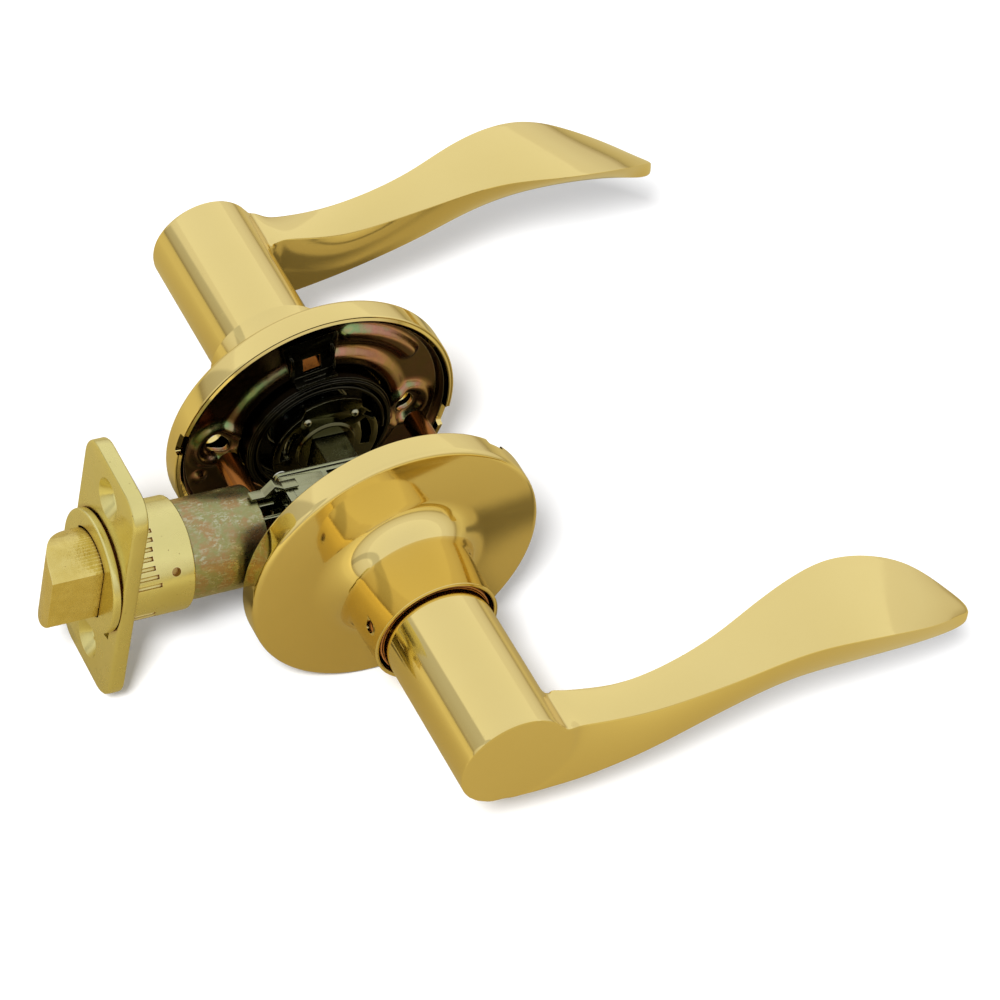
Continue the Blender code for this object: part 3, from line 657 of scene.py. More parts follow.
def arm_ring(x):
    """The arm's section at x: points round its four crowned sides, from the outer top corner."""
    corners = grip_corners(x)
    middle = sum(corners, Vector((0.0, 0.0))) / 4
    points = []
    for s, count in enumerate(SIDES):
        a, b = corners[s], corners[(s + 1) % 4]
        across = Vector((-(b - a).y, (b - a).x)).normalized()
        if across.dot((a + b) / 2 - middle) < 0:
            across = -across
        bulge = min(CROWN[s], (b - a).length * 0.06)
        for k in range(count):
            t = k / count
            points.append(Vector((x, *(a.lerp(b, t) + across * bulge * 4 * t * (1 - t)))))
    return points


def lever_mesh(name):
    """A cage of four-sided faces for shank and arm, smoothed by subdivision. The arm grows out
    of an opening in the shank's wall, from 30 degrees above the middle to its lowest line."""
    work = bmesh.new()
    crease = work.edges.layers.float.new("crease_edge")
    angles = [math.radians(30 - 360 * i / COLUMNS) for i in range(COLUMNS)]

    def ring(radius, out, skipped=()):
        points = []
        for i, angle in enumerate(angles):
            place = (radius * CAGE * math.cos(angle), out, radius * CAGE * math.sin(angle))
            points.append(None if i in skipped else work.verts.new(place))
        return points

    def bridge(a, b, skipped=()):
        for i in range(len(a)):
            if i not in skipped:
                j = (i + 1) % len(a)
                work.faces.new((a[i], a[j], b[j], b[i]))

    def mark(a, b, amount):
        edge = work.edges.get((a, b))
        edge[crease] = max(edge[crease], amount)

    step = (SHANK_OUT - ARM_FROM) / 4
    shank_rows = (SHANK_START, 9.0, 18.0, 28.0, 38.0, 46.0, 49.4, ARM_FROM)
    rows = [ring(SHANK_R, out) for out in shank_rows]
    base = len(rows) - 1
    rows += [ring(SHANK_R, ARM_FROM + k * step, range(1, 8)) for k in (1, 2, 3)]
    rows.append(ring(SHANK_R, SHANK_OUT))
    for k in range(len(rows) - 1):
        bridge(rows[k], rows[k + 1], range(8) if k >= base else ())

    rim = rows[-1]
    fill_patch(work, rim[3:] + rim[:3], 6, 6)
    for i in range(8, COLUMNS):
        turn = (i - 8) / (COLUMNS - 8)
        mark(rim[i], rim[(i + 1) % COLUMNS], min(0.92, 0.25 + 1.5 * turn))

    bore = [ring(SHANK_BORE, out) for out in (SHANK_START, 9.0, 20.0, 33.0, 44.0, 46.0)]
    bridge(rows[0], bore[0])
    for k in range(len(bore) - 1):
        bridge(bore[k], bore[k + 1])
    fill_patch(work, bore[-1], 6, 6)
    for i in range(COLUMNS):
        for loop, amount in ((rows[0], 0.6), (bore[0], 0.6), (bore[-1], 0.8)):
            mark(loop[i], loop[(i + 1) % COLUMNS], amount)

    opening = [row[0] for row in rows[:base - 1:-1]] + rows[base][1:9]
    opening += [row[8] for row in rows[base + 1:]] + rim[7:0:-1]
    first = [work.verts.new(v.co + Vector((1.1, 0, 0))) for v in opening]
    landing = arm_ring(ARM_STATIONS[0])
    second = [work.verts.new(v.co.lerp(p, 0.5)) for v, p in zip(first, landing)]
    rings = [opening, first, second]
    for x in ARM_STATIONS:
        rings.append([work.verts.new(p) for p in arm_ring(x)])
    for a, b in zip(rings, rings[1:]):
        bridge(a, b)
        for corner, amount in ((0, 0.95), (4, 0.9), (12, 0.45), (16, 0.35)):
            if a is not opening or corner == 0:
                mark(a[corner], b[corner], amount)
    fill_patch(work, rings[-1], 4, 8)
    return subdivided(from_bmesh(name, work), 3)


def build_lever(label):
    obj = lever_mesh(label + "_lever_cast")
    middle = (PIN_OUT, 0.0)
    cut(obj, rod("catch_hole", CATCH_HOLE_R, -SHANK_R - 1, -SHANK_BORE + 1, "X", 40, middle))
    set_half(obj, label, label + "_handle", "lever", BRASS, 32)


# ---------------------------------------------------------------- rose, plate and spring parts

def build_rose(label, notch_angles, hole_places):
    """The polished cover, with a rounded rim, a soft flare and a rolled lip at the collar."""
    outer = rounded([(ROSE_R, 0.0, 0.35), (ROSE_R, ROSE_RIM - 0.1, 1.25), (21.0, 6.7, 0.0)], 6)
    outer = outer[:-1] + arc(FLARE_R, 270, 180, 18, (COLLAR_R + FLARE_R, FLARE_OUT + FLARE_R))
    lip = rounded([(COLLAR_R, COLLAR_OUT, 0.45), (COLLAR_BORE, COLLAR_OUT, 0.3),
                   (COLLAR_BORE + 0.1, 23.5, 0.1)], 4)
    inner = [(COLLAR_BORE + 0.1, 11.5), (14.6, 7.6), (17.4, 5.7), (ROSE_R - 2.3, 4.7),
             (ROSE_R - 1.3, 3.6), (ROSE_R - 1.25, 0.15), (ROSE_R - 1.05, 0.0)]
    obj = turned(label + "_rose_cover", outer + lip + inner, steps=192)
    cut(obj, rod("pin_hole", 1.35, -COLLAR_R - 1, -COLLAR_BORE + 1, "X", 48, (PIN_OUT, PIN_Z)))
    for angle in notch_angles:
        corners = [(-2.9, -1.0, 0), (2.9, -1.0, 0), (2.5, 1.6, 0.7), (-2.5, 1.6, 0.7)]
        outline = [(out, across) for across, out in rounded(corners, 4)]
        notch = slab("notch", outline, ROSE_R - 4, ROSE_R + 2, "X")
        notch.data.transform(Matrix.Rotation(math.radians(-angle), 4, "Y"))
        cut(obj, notch)
    for x in hole_places:
        cut(obj, rod("screw_hole", HOLE_R, 3.0, 8.0, "Y", 48, (x, 0.0)))
    set_half(obj, label, "mounting", "rose", BRASS, 30)


def rise(value, low, high):
    """Smooth step from 0 at low to 1 at high."""
    t = min(max((value - low) / (high - low), 0.0), 1.0)
    return t * t * (3 - 2 * t)


def plate_level(r, angle):
    """Pressed shape of the mounting plate: how far its door side stands out at a polar place."""
    x, z = r * math.cos(angle), r * math.sin(angle)
    lip = 1.9 * rise(r, 29.3, 30.2)
    housing_ring = 1.35 * rise(r, 17.2, 18.2) * (1 - rise(r, 19.7, 22.6))
    from_post = math.hypot(abs(x) - POST_X, z)
    post_ring = 1.15 * math.exp(-((from_post - 5.0) / 1.25) ** 2) * (1 - rise(r, 28.6, 29.6))
    post_seat = 0.45 * (1 - rise(from_post, 3.0, 4.4))
    past_end = max(abs(math.degrees(angle) - BEAD_MIDDLE) - BEAD_HALF, 0.0)
    from_bead = math.hypot(r - BEAD_R, math.radians(past_end) * BEAD_R)
    bead = 1.5 * (1 - rise(from_bead, 0.6, 2.7))
    dimple = 0.8 * (1 - rise(math.hypot(x + 25.0, z + 9.0), 0.4, 2.4))
    return 2.6 - lip - housing_ring - post_ring + post_seat - bead - dimple


def plate_mesh(name):
    """The plate as a fine polar grid, given an even thickness."""
    thick, around = 0.9, 300
    radii = [17.1 + 0.38 * i for i in range(35)] + [PLATE_R]
    verts, faces = [], []
    for side in (0.0, thick):
        for r in radii:
            for i in range(around):
                angle = TAU * i / around
                level = plate_level(r, angle) + side
                verts.append((r * math.cos(angle), level, r * math.sin(angle)))
    layer = len(radii) * around
    for side in (0, layer):
        for k in range(len(radii) - 1):
            for i in range(around):
                j = (i + 1) % around
                a, b = side + k * around, side + (k + 1) * around
                faces.append([a + i, a + j, b + j, b + i])
    for k in (0, len(radii) - 1):
        for i in range(around):
            j = (i + 1) % around
            a, b = k * around, layer + k * around
            faces.append([a + i, a + j, b + j, b + i])
    return solid(name, verts, faces)


def build_plate(label, hole_r):
    obj = plate_mesh(label + "_pressed_plate")
    for x in (-POST_X, POST_X):
        cut(obj, rod("post_hole", hole_r, 0, 6, "Y", 40, (x, 0.0)))
    slot = block("clip_slot", (-2.9, 2.9), (-1, 6), (19.0, 23.2))
    slot.data.transform(Matrix.Rotation(math.radians(CLIP_TURN), 4, "Y"))
    cut(obj, slot)
    set_half(obj, label, "mounting", "mounting_plate", LINER, 45)


def build_spring_housing(label):
    """Black cup with a rolled edge and a stepped floor."""
    corners = [(16.2, -2.2, 0.15), (16.2, -1.5, 0.1), (HOUSING_R, -1.5, 0.2), (HOUSING_R, 4.4, 1.2),
               (SLEEVE_R + 0.7, 4.4, 0.3), (SLEEVE_R + 0.7, 3.6, 0.3), (15.9, 3.6, 0.6),
               (15.9, 0.2, 0.1), (15.5, -0.2, 0.1), (15.5, -2.2, 0.15)]
    obj = turned(label + "_spring_cup", rounded(corners), steps=144)
    set_half(obj, label, "mounting", "spring_housing", BLACK)


def build_torsion_spring(label):
    obj = coil(label + "_return_spring", 14.4, 0.5, -2.2, 2.9, 4, "Y", 72, 12, closed=-1.0)
    set_half(obj, label, "mounting", "torsion_spring", BLACK, 60)


def build_bush(label):
    corners = [(12.62, 11.5, 0.2), (12.62, 21.6, 0.1), (12.3, 21.9, 0.1), (12.3, 24.2, 0.1),
               (11.98, 24.2, 0.1), (11.98, 11.5, 0.2)]
    obj = turned(label + "_bush_ring", rounded(corners), steps=144)
    cut(obj, rod("pin_hole", 2.7, -COLLAR_R, -COLLAR_BORE + 2, "X", 32, (PIN_OUT - 0.4, PIN_Z)))
    set_half(obj, label, "mounting", "collar_bush", NYLON)


def build_rose_clip(label):
    """Black tab with a window, bent down at its inner end, with turned-up sides. A tilted copper
    leaf behind the window is a painted reflection: it stands for the orange reflection seen there."""
    outline = rounded([(-4.7, 17.5, 0.4), (4.7, 17.5, 0.4), (6.5, 28.5, 1.2), (-6.5, 28.5, 1.2)])
    obj = slab(label + "_clip", outline, 0.5, 1.1, "Y")
    root = block("root", (-4.6, 4.6), (-2.0, 0.8), (17.5, 18.1))
    join(obj, root)
    for x in (-4.9, 4.4):
        join(obj, block("side", (x, x + 0.5), (-0.5, 0.9), (18.4, 25.0)))
    cut(obj, block("window", (-2.0, 2.0), (-1, 2), (18.9, 23.2)))
    join(obj, block("tongue", (-2.4, 2.4), (-0.9, -0.3), (17.3, 18.3)))
    soften(obj, 0.14)
    turn = Matrix.Rotation(math.radians(CLIP_TURN), 4, "Y")
    obj.data.transform(turn)
    set_half(obj, label, "mounting", "rose_clip", BLACK)
    # painted reflection: a copper sheet in the window, standing for the orange reflection seen through
    # it
    outline = rounded([(-2.3, 18.7, 0.3), (2.3, 18.7, 0.3), (2.3, 23.4, 0.3), (-2.3, 23.4, 0.3)])
    leaf = slab(label + "_clip_reflection_sheet", outline, 1.25, 1.5, "Y")
    middle = Vector((0, 1.4, 21.05))
    leaf.data.transform(Matrix.Rotation(math.radians(-33), 4, "X") @ Matrix.Translation(-middle))
    leaf.data.transform(turn @ Matrix.Translation(middle + Vector((0, 0.9, 0))))
    set_half(leaf, label, "mounting", None, COPPER)


def build_driver_plate(label):
    """Dark disc with ears, slots and a raised centre round the square hole."""
    outline = arc(DRIVER_R, 62, 118, 16) + arc(DRIVER_R - 1.6, 126, 414, 72)
    obj = slab(label + "_driver", outline, -4.75, -3.6, "Y")
    raised = rounded([(0, -5.4, 0), (6.6, -5.4, 0.4), (7.2, -4.2, 0.1), (0, -4.2, 0)])
    join(obj, turned("hub", raised, steps=64))
    join(obj, block("spring_tab", (-2.0, 2.0), (-4.0, 1.6), (-10.9, -9.7)))
    square = (-SQUARE_HALF, SQUARE_HALF)
    cut(obj, block("square_hole", square, (-7, 0), square))
    across, above = DRIVER_RIVET
    for sign in (-1, 1):
        start, end = 90 - sign * 52, 90 - sign * 100
        slot = arc(10.6, start, end, 16) + arc(8.4, end, start, 16)
        cut(obj, slab("kidney_slot", slot, -7, -3, "Y"))
        cut(obj, rod("rivet_hole", DRIVER_RIVET_R, -7, -3, "Y", 24, (sign * across, above)))
    window = block("window", (-1.6, 1.6), (-7, -3), (-0.6, 0.6))
    window.data.transform(Matrix.Rotation(math.radians(35), 4, "Y"))
    window.data.transform(Matrix.Translation((9.3, 0, 7.0)))
    cut(obj, window)
    soften(obj, 0.16)
    set_half(obj, label, label + "_handle", "driver_plate", OLIVE)


def build_driver_rivets(label):
    across, above = DRIVER_RIVET
    for word, sign in (("left", -1), ("right", 1)):
        head = [(0, -5.5)] + arc(DRIVER_RIVET_R, -88, -10, 6, (0.0, -4.6))
        profile = head + [(0.9, -4.8), (0.7, -4.8), (0.7, -3.2), (0, -3.2)]
        obj = turned(label + "_rivet_" + word, profile, steps=32, centre=(sign * across, above))
        set_half(obj, label, label + "_handle", "driver_rivet_" + word, RIVET)


def build_retaining_ring(label):
    outline = arc(11.4, 20, 340, 80) + arc(SLEEVE_R + 0.15, 340, 20, 80)
    obj = slab(label + "_snap_ring", outline, 4.85, 5.45, "Y")
    soften(obj, 0.12)
    set_half(obj, label, label + "_handle", "retaining_ring", ZINC)


def build_sleeve(label):
    start, end = -3.2, 42.0
    corners = [(SLEEVE_R, start, 0.2), (SLEEVE_R, end, 0.3), (SLEEVE_BORE, end, 0.2),
               (SLEEVE_BORE, start, 0.2)]
    obj = turned(label + "_sleeve", rounded(corners), steps=96)
    middle = (PIN_OUT, 0.0)
    cut(obj, rod("catch_hole", CATCH_HOLE_R, -SLEEVE_R - 1, -SLEEVE_R + 2.2, "X", 32, middle))
    set_half(obj, label, label + "_handle", "drive_sleeve", ZINC)


def build_catch(label):
    """Spring leaf inside the sleeve, with the button that holds the lever on."""
    obj = block(label + "_catch_leaf", (-6.8, -6.3), (12.0, 24.0), (-1.9, 1.9))
    button = [(0, -SHANK_R + 0.4), (0.8, -SHANK_R + 0.45), (1.15, -SHANK_R + 0.8), (1.2, -6.5),
              (0, -6.5)]
    join(obj, turned("button", button, "X", 32, (PIN_OUT, 0.0)))
    soften(obj, 0.08)
    set_half(obj, label, label + "_catch", "lever_catch", ZINC)


def build_post(word, x):
    """Post with a tapped bore: the thread shows as rings inside its mouth."""
    end = -32.6
    profile = [(2.2, end), (2.5, end + 0.3), (2.5, 1.0), (2.3, 1.3), (1.1, 1.3), (1.1, 4.2),
               (0.9, 4.4), (0, 4.4), (0, end + 14)]
    for k in range(20):
        place = end + 13.6 - 0.7 * k
        profile += [(1.85, place), (1.55, place - 0.35)]
    profile += [(1.9, end + 0.2)]
    obj = turned("post_" + word, profile, steps=48, centre=(x, 0.0))
    set_down(obj, HALVES["front"], "mounting", "threaded_post_" + word, COPPER)


def build_spindle():
    half = SPINDLE_HALF
    corners = [(-half, -half, 0.5), (half, -half, 0.5), (half, half, 0.5), (-half, half, 0.5)]
    obj = slab("square_spindle", rounded(corners, 3), -25.5, 25.5, "Y")
    soften(obj, 0.35, 2, 60)
    set_down(obj, SPINDLE_PLACE, "spindle", "spindle", GALVANISED)


# ---------------------------------------------------------------- latch

def build_faceplate():
    """Rounded plate with countersunk screw holes, and a small notch at the hole for the collar
    that is wider at the back."""
    y, z, r = PLATE_WIDE / 2, PLATE_TALL / 2, 6.0
    outline = []
    for start, sy, sz in ((0, 1, 1), (90, -1, 1), (180, -1, -1), (270, 1, -1)):
        outline += arc(r, start, start + 90, 16, (sy * (y - r), sz * (z - r)))
    obj = slab("latch_faceplate", outline, -BACKSET, -BACKSET + PLATE_THICK, "X")
    soften(obj, 0.55, 3, 60)
    cut(obj, rod("collar_hole", LATCH_COLLAR_R + 0.3, -BACKSET - 1, -BACKSET + 5, "X", 96))
    for sign in (-1, 1):
        profile = [(0, -BACKSET - 0.5), (4.9, -BACKSET - 0.5), (4.5, -BACKSET), (4.1, -BACKSET + 0.35),
                   (2.6, -BACKSET + 2.0), (2.3, -BACKSET + 2.4), (2.2, -BACKSET + 5), (0, -BACKSET + 5)]
        cut(obj, turned("countersink", profile, "X", 48, (0.0, sign * FACE_HOLE_Z)))
    notch = ((-8.9, -12.0), (-5.3, -12.9), (-6.4, -9.0), (-9.0, -7.0))
    cut(obj, slab("notch", notch, -BACKSET - 1, -BACKSET + 5, "X"))
    behind = ((-10.6, -13.6), (-5.6, -15.4), (-6.4, -9.0), (-9.0, -7.0))
    cut(obj, slab("notch", behind, -BACKSET + 0.9, -BACKSET + 5, "X"))
    set_down(obj, LATCH_PLACE, "latch_case", "faceplate", SATIN)


def flat_sided(name, radius, flat, start, end, count=40):
    half = math.degrees(math.acos(flat / radius))
    outline = arc(radius, half, 180 - half, count) + arc(radius, 180 + half, 360 - half, count)
    return slab(name, outline, start, end, "X")


def build_latch_collar():
    """Front flange and sleeve, with pressed ribs near the plate and a staking dimple."""
    front, back, end = -62.0, -60.3, LATCH_COLLAR_END
    corners = [(FLANGE_R, front, 0.5), (FLANGE_R, back, 0.2), (LATCH_COLLAR_R, back, 0),
               (LATCH_COLLAR_R, end, 0.5), (11.2, end, 0.1), (11.0, end - 1.2, 0),
               (10.8, end - 1.2, 0), (10.8, -BACKSET, 0), (0, -BACKSET, 0), (0, front, 0)]
    obj = turned("latch_front_collar", rounded(corners, 5), "X", 192)
    cut(obj, flat_sided("bolt_hole", BOLT_R + 0.3, BOLT_FLAT + 0.3, -63.0, -59.0))
    for start, end in ((20, 160), (200, 340)):
        for k in range(RIBS):
            angle = math.radians(start + (end - start) * k / (RIBS - 1))
            groove_at = (LATCH_COLLAR_R * math.cos(angle), LATCH_COLLAR_R * math.sin(angle))
            cut(obj, rod("groove", 0.5, -56.1, -51.4 + 0.7 * math.sin(k * 0.9), "X", 16, groove_at))
    dimple = math.radians(150)
    pit = turned("dimple", ((0, -1.1), (0.8, -1.1), (0.95, -0.2), (1.2, 1.0), (0, 1.0)), "Z", 24)
    pit.data.transform(Matrix.Rotation(dimple - math.radians(90), 4, "X"))
    offset = Vector((-47.6, LATCH_COLLAR_R * math.cos(dimple), LATCH_COLLAR_R * math.sin(dimple)))
    pit.data.transform(Matrix.Translation(offset))
    cut(obj, pit)
    set_down(obj, LATCH_PLACE, "latch_case", "latch_collar", SATIN, 30)


def build_latch_tube():
    corners = [(TUBE_R, -59.6, 0.2), (TUBE_R, -26.0, 0.5), (9.7, -26.0, 0.2), (9.7, -59.6, 0.2)]
    obj = turned("latch_barrel", rounded(corners), "X", 128)
    set_down(obj, LATCH_PLACE, "latch_case", "latch_tube", TUBE)


def build_bolt():
    """Cast head with a rounded bevel and worn edges, and the round shoulder behind it."""
    obj = flat_sided("latch_bolt_head", BOLT_R, BOLT_FLAT, -BOLT_TIP, -59.0)
    shoulder = ((0, -59.6), (BOLT_R, -59.6), (BOLT_R, -55.8), (7.8, -55.8), (7.8, -58.5),
                (0, -58.5))
    join(obj, turned("shoulder", shoulder, "X", 80))
    start, deep, tall = -BOLT_FLAT + 1.6, 10.6, 11.9
    bevel = [(-BOLT_TIP - 1, start), (-BOLT_TIP, start)]
    for k in range(1, 25):
        angle = math.radians(90 * k / 24)
        bevel.append((-BOLT_TIP + deep * (1 - math.cos(angle)), start + tall * math.sin(angle)))
    bevel += [(-BOLT_TIP + deep, BOLT_FLAT + 3), (-BOLT_TIP - 1, BOLT_FLAT + 3)]
    cut(obj, slab("bevel", bevel, -12, 12, "Z"))
    soften(obj, 0.5, 3, 38)
    set_down(obj, LATCH_PLACE, "bolt", "latch_bolt", CAST)


def build_bolt_tail():
    obj = block("bolt_tail_strip", (-58.2, -35.4), (-0.6, 0.6), (3.2, 4.6))
    join(obj, block("head", (-36.3, -35.1), (-1.5, 1.5), (2.9, 5.3)))
    join(obj, block("foot", (-58.2, -57.4), (-3.0, 3.0), (-4.0, 4.6)))
    soften(obj, 0.15)
    set_down(obj, LATCH_PLACE, "bolt", "bolt_tail", GALVANISED)


def case_sheet(name, inner, outer):
    """One side of the case: a wide body, a tongue towards the tube and a notch at the tail."""
    tongue, tall, notch = 8.2, CASE_Z, 3.1
    upper = [(18.8, notch, 1.5), (21, notch, 0.6), (21, tall, 1.0), (-20, tall, 1.0),
             (-20, tongue, 0.6), (-32.3, tongue, 0.8)]
    lower = [(x, -z, radius) for x, z, radius in reversed(upper)]
    obj = slab(name, rounded(lower + upper), inner, outer, "Y")
    low, high = min(inner, outer) - 1, max(inner, outer) + 1
    cut(obj, rod("hub_hole", 6.9, low, high, "Y", 64))
    cut(obj, rod("post_hole", 3.0, low, high, "Y", 40, (-POST_X, 0.0)))
    for x, z in CASE_RIVETS:
        cut(obj, rod("rivet_hole", 1.2, low, high, "Y", 24, (x, z)))
    return obj


def build_case():
    body = case_sheet("latch_case_channel", -CASE_Y, -CASE_Y + SHEET)
    flange_y = (-CASE_Y, CASE_Y - SHEET - 0.3)
    join(body, block("top_flange", (-20, 21), flange_y, (CASE_Z - SHEET, CASE_Z)))
    join(body, block("low_flange", (-20, 21), flange_y, (-CASE_Z, -CASE_Z + SHEET)))
    cut(body, block("slot", (-9.5, -3.0), (-CASE_Y + SHEET + 0.4, 2.0), (CASE_Z - 2, CASE_Z + 1)))
    for x in (-18.4, -10.6):
        cut(body, block("line", (x, x + 0.12), (-3.4, 2.4), (CASE_Z - 0.12, CASE_Z + 1)))
    soften(body, 0.22, 2)
    set_down(body, LATCH_PLACE, "latch_case", "latch_case_body", GALVANISED)
    cover = case_sheet("latch_case_lid", CASE_Y - SHEET, CASE_Y)
    soften(cover, 0.18, 2)
    set_down(cover, LATCH_PLACE, "latch_case", "latch_case_cover", GALVANISED)


def build_case_rivets():
    for number, (x, z) in enumerate(CASE_RIVETS, start=1):
        head, reach = CASE_Y + 0.3, CASE_Y + 0.75
        half = [(0.9, head), (1.55, head), (1.6, head + 0.2), (1.1, reach - 0.05), (0, reach)]
        profile = half + [(r, -y) for r, y in reversed(half[:-1])]
        profile.insert(5, (0, -reach))
        obj = turned(f"case_rivet_head_{number}", profile, steps=32, centre=(x, z))
        set_down(obj, LATCH_PLACE, "latch_case", f"case_rivet_{number}", ZINC)


def build_tail_clip():
    corners = [(-27.5, 11.6), (-24.6, 11.6), (-22.6, 14.0), (-20.4, 12.8), (-17.0, 12.8),
               (-17.0, 12.3), (-20.6, 12.3), (-22.5, 13.2), (-24.3, 10.9), (-27.5, 10.9)]
    outline = rounded([(x, z, 0.22) for x, z in corners], 3)
    obj = slab("latch_tail_clip", outline, -1.0, 1.2, "Y")
    soften(obj, 0.1)
    clip_finish = GALVANISED[0], "bright_steel"
    set_down(obj, LATCH_PLACE, "latch_case", "tail_clip", clip_finish)


def build_hub():
    """Round hub with a square hole and two arms that pull on the retractor's lips."""
    lean, reach, arm_r = math.radians(30), 9.5, 1.4
    barrel = rounded([(0, -4.5, 0), (6.6, -4.5, 0.4), (6.6, 4.5, 0.4), (0, 4.5, 0)])
    obj = turned("cam_hub", barrel, steps=72)
    for sign in (-1, 1):
        tip = Vector((-reach * math.sin(lean), sign * reach * math.cos(lean)))
        across = Vector((sign * tip.y, -sign * tip.x)).normalized()
        start = math.degrees(math.atan2(across.y, across.x))
        outline = [tuple(-arm_r * across), tuple(arm_r * across)]
        outline += arc(arm_r, start, start + sign * 180, 16, tuple(tip))
        join(obj, slab("arm", outline, -1.2, 1.2, "Y"))
    square = (-SQUARE_HALF, SQUARE_HALF)
    cut(obj, block("square_hole", square, (-6, 6), square))
    soften(obj, 0.15)
    set_down(obj, LATCH_PLACE, "latch_hub", "latch_hub", GALVANISED)


def build_retractor():
    """Fork with a slot for the bolt's tail, four rails and two lips for the hub's arms."""
    obj = block("retractor_fork", (-38.0, -36.6), (-2.7, 2.7), (-5.4, 5.4))
    for z_sign in (-1, 1):
        lip, front, wall, rear = (sorted((z_sign * low, z_sign * high)) for low, high in (
            (8.4, 10.6), (3.4, 5.4), (3.4, 8.9), (7.2, 8.9)))
        join(obj, block("lip", (-2.9, -1.3), (-2.9, 2.9), lip))
        for y_sign in (-1, 1):
            rail_y = sorted((1.9 * y_sign, 2.7 * y_sign))
            plate_y = sorted((1.9 * y_sign, 2.9 * y_sign))
            join(obj, block("front_rail", (-37.0, -18.5), rail_y, front))
            join(obj, block("wall", (-20.3, -18.5), plate_y, wall))
            join(obj, block("rear_rail", (-20.3, -1.3), plate_y, rear))
    cut(obj, block("tail_slot", (-39.0, -36.0), (-0.9, 0.9), (2.9, 4.9)))
    soften(obj, 0.12)
    set_down(obj, LATCH_PLACE, "retractor", "retractor", GALVANISED)


def build_bolt_spring():
    """The bolt's spring, wound closer at both ends, and the washer at its seat."""
    spring = coil("bolt_return_spring", 6.95, 0.5, -57.7, SPRING_SEAT, 7, "X", 40, 10)
    set_down(spring, LATCH_PLACE, "latch_case", "bolt_spring", ZINC, 60)
    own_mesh(spring)
    washer = rounded([(9.4, -33.4, 0.15), (9.4, -32.6, 0.15), (6.35, -32.6, 0.15), (6.35, -33.4, 0.15)])
    seat = turned("bolt_spring_seat", washer, "X", 72)
    set_down(seat, LATCH_PLACE, "latch_case", "spring_seat", ZINC)


def build_object():
    for label in HALVES:
        for build in (build_lever, build_spring_housing, build_torsion_spring, build_bush,
                      build_rose_clip, build_driver_plate, build_driver_rivets,
                      build_retaining_ring, build_sleeve, build_catch):
            build(label)
    build_rose("front", (51, 231), ())
    build_rose("rear", (-8, 172), (-POST_X, POST_X))
    build_plate("front", 1.35)
    build_plate("rear", HOLE_R)
    build_post("left", -POST_X)
    build_post("right", POST_X)
    for build in (build_spindle, build_faceplate, build_latch_collar, build_latch_tube,
                  build_bolt, build_bolt_tail, build_case, build_case_rivets, build_tail_clip,
                  build_hub, build_retractor, build_bolt_spring):
        build()


# ---------------------------------------------------------------- stage

FLOOR_GAP = 0.0005                       # all in metres here
FLOOR_HALF = 3.0
FLOOR_THICK = 0.02
KEY_PLACE = (-0.90, -0.88, 1.40)
KEY_SIZE = 0.34
KEY_POWER = 42
CAMERA_PLACE = (-0.34635, -0.4980, 0.5955)
CAMERA_AXES = ((0.8826, -0.4374, 0.1723), (0.2087, 0.6930, 0.6900), (-0.4212, -0.5731, 0.7030))
LENS = 144.1


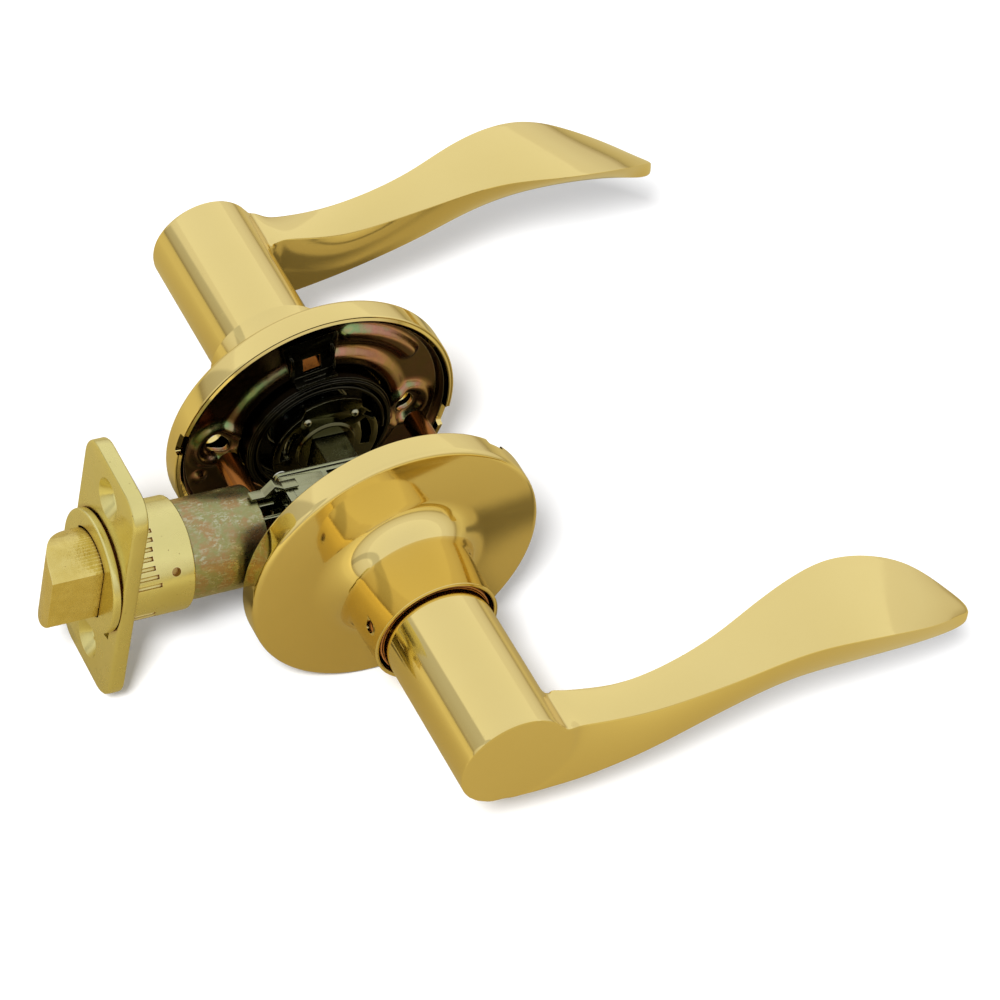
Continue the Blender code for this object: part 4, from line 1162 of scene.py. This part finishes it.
def build_stage():
    """A pale floor just under the object. Metal mirrors it darker and browner, near it most: a
    painted shadow and a painted reflection tone.
    """
    low, half = cad_box[0].z - FLOOR_GAP, FLOOR_HALF
    corners = ((-half, -half), (half, -half), (half, half), (-half, half))
    floor = slab("floor", corners, low - FLOOR_THICK, low, "Z")
    n = Surface("pale_floor")
    pale = n.mix(n.noise(0.002, 2), (0.93, 0.93, 0.94), (0.95, 0.95, 0.95))
    mirrored = n.add("ShaderNodeLightPath").outputs["Is Glossy Ray"]
    away = n.add("ShaderNodeVectorMath", {0: n.place}, operation="LENGTH").outputs["Value"]
    near_to_far = n.sum(away, 3.0, kind="MULTIPLY")
    # painted shadow: the floor as metal mirrors it is brown and darker, darkest near the object
    mirrored_floor_shade = n.ramp(near_to_far, (0.15, (0.33, 0.265, 0.12)), (0.60, (0.52, 0.45, 0.24)))
    floor.data.materials.append(n.finish(n.mix(mirrored, pale, mirrored_floor_shade), 0.9, 0.0))


def build_light():
    """Even pale light, and a soft key beside the camera. What the metal mirrors is a studio: a
    bright ceiling with a clear edge, paler walls, and a dimmer screen to the left."""
    world = bpy.data.worlds.new("studio")
    n = Nodes(world)
    place = n.add("ShaderNodeTexCoord").outputs["Generated"]
    split = n.add("ShaderNodeSeparateXYZ", {0: place}).outputs
    soft = n.ramp(split["Z"], (0.0, 0.45), (0.3, 0.60), (0.6, 0.82))
    room = n.ramp(split["Z"], (0.0, (0.66, 0.58, 0.42)), (0.08, (0.92, 0.87, 0.74)),
                  (0.30, (1.06, 1.04, 0.98)), (0.44, (1.10, 1.08, 1.03)),
                  (0.46, (1.22, 1.22, 1.18)), (1.0, (1.12, 1.12, 1.10)))
    left = n.sum(split["X"], -1.0, kind="MULTIPLY")
    screen = n.ramp(left, (0.70, 1.0), (0.72, 0.70), (0.84, 0.70), (0.86, 1.0))
    mirrored = n.add("ShaderNodeLightPath").outputs["Is Glossy Ray"]
    sky = n.mix(mirrored, soft, n.mix(1.0, room, screen, "MULTIPLY"))
    background = n.tree.nodes["Background"]
    n.put(background.inputs["Color"], sky)
    n.put(background.inputs["Strength"], 0.8)
    bpy.context.scene.world = world

    data = bpy.data.lights.new("key", "AREA")
    data.size, data.energy = KEY_SIZE, KEY_POWER
    key = bpy.data.objects.new("key", data)
    bpy.context.scene.collection.objects.link(key)
    key.location = KEY_PLACE
    key.rotation_euler = (-Vector(KEY_PLACE)).to_track_quat("-Z", "Y").to_euler()
    key.visible_glossy = False
    bpy.context.scene.view_settings.view_transform = "Standard"


def build_camera():
    data = bpy.data.cameras.new("camera")
    data.lens = LENS
    data.clip_start, data.clip_end = 0.05, 10
    camera = bpy.data.objects.new("camera", data)
    bpy.context.scene.collection.objects.link(camera)
    turn = Matrix(CAMERA_AXES).transposed().to_4x4()
    camera.matrix_world = Matrix.Translation(CAMERA_PLACE) @ turn
    bpy.context.scene.camera = camera


build_object()
build_stage()
build_light()
build_camera()
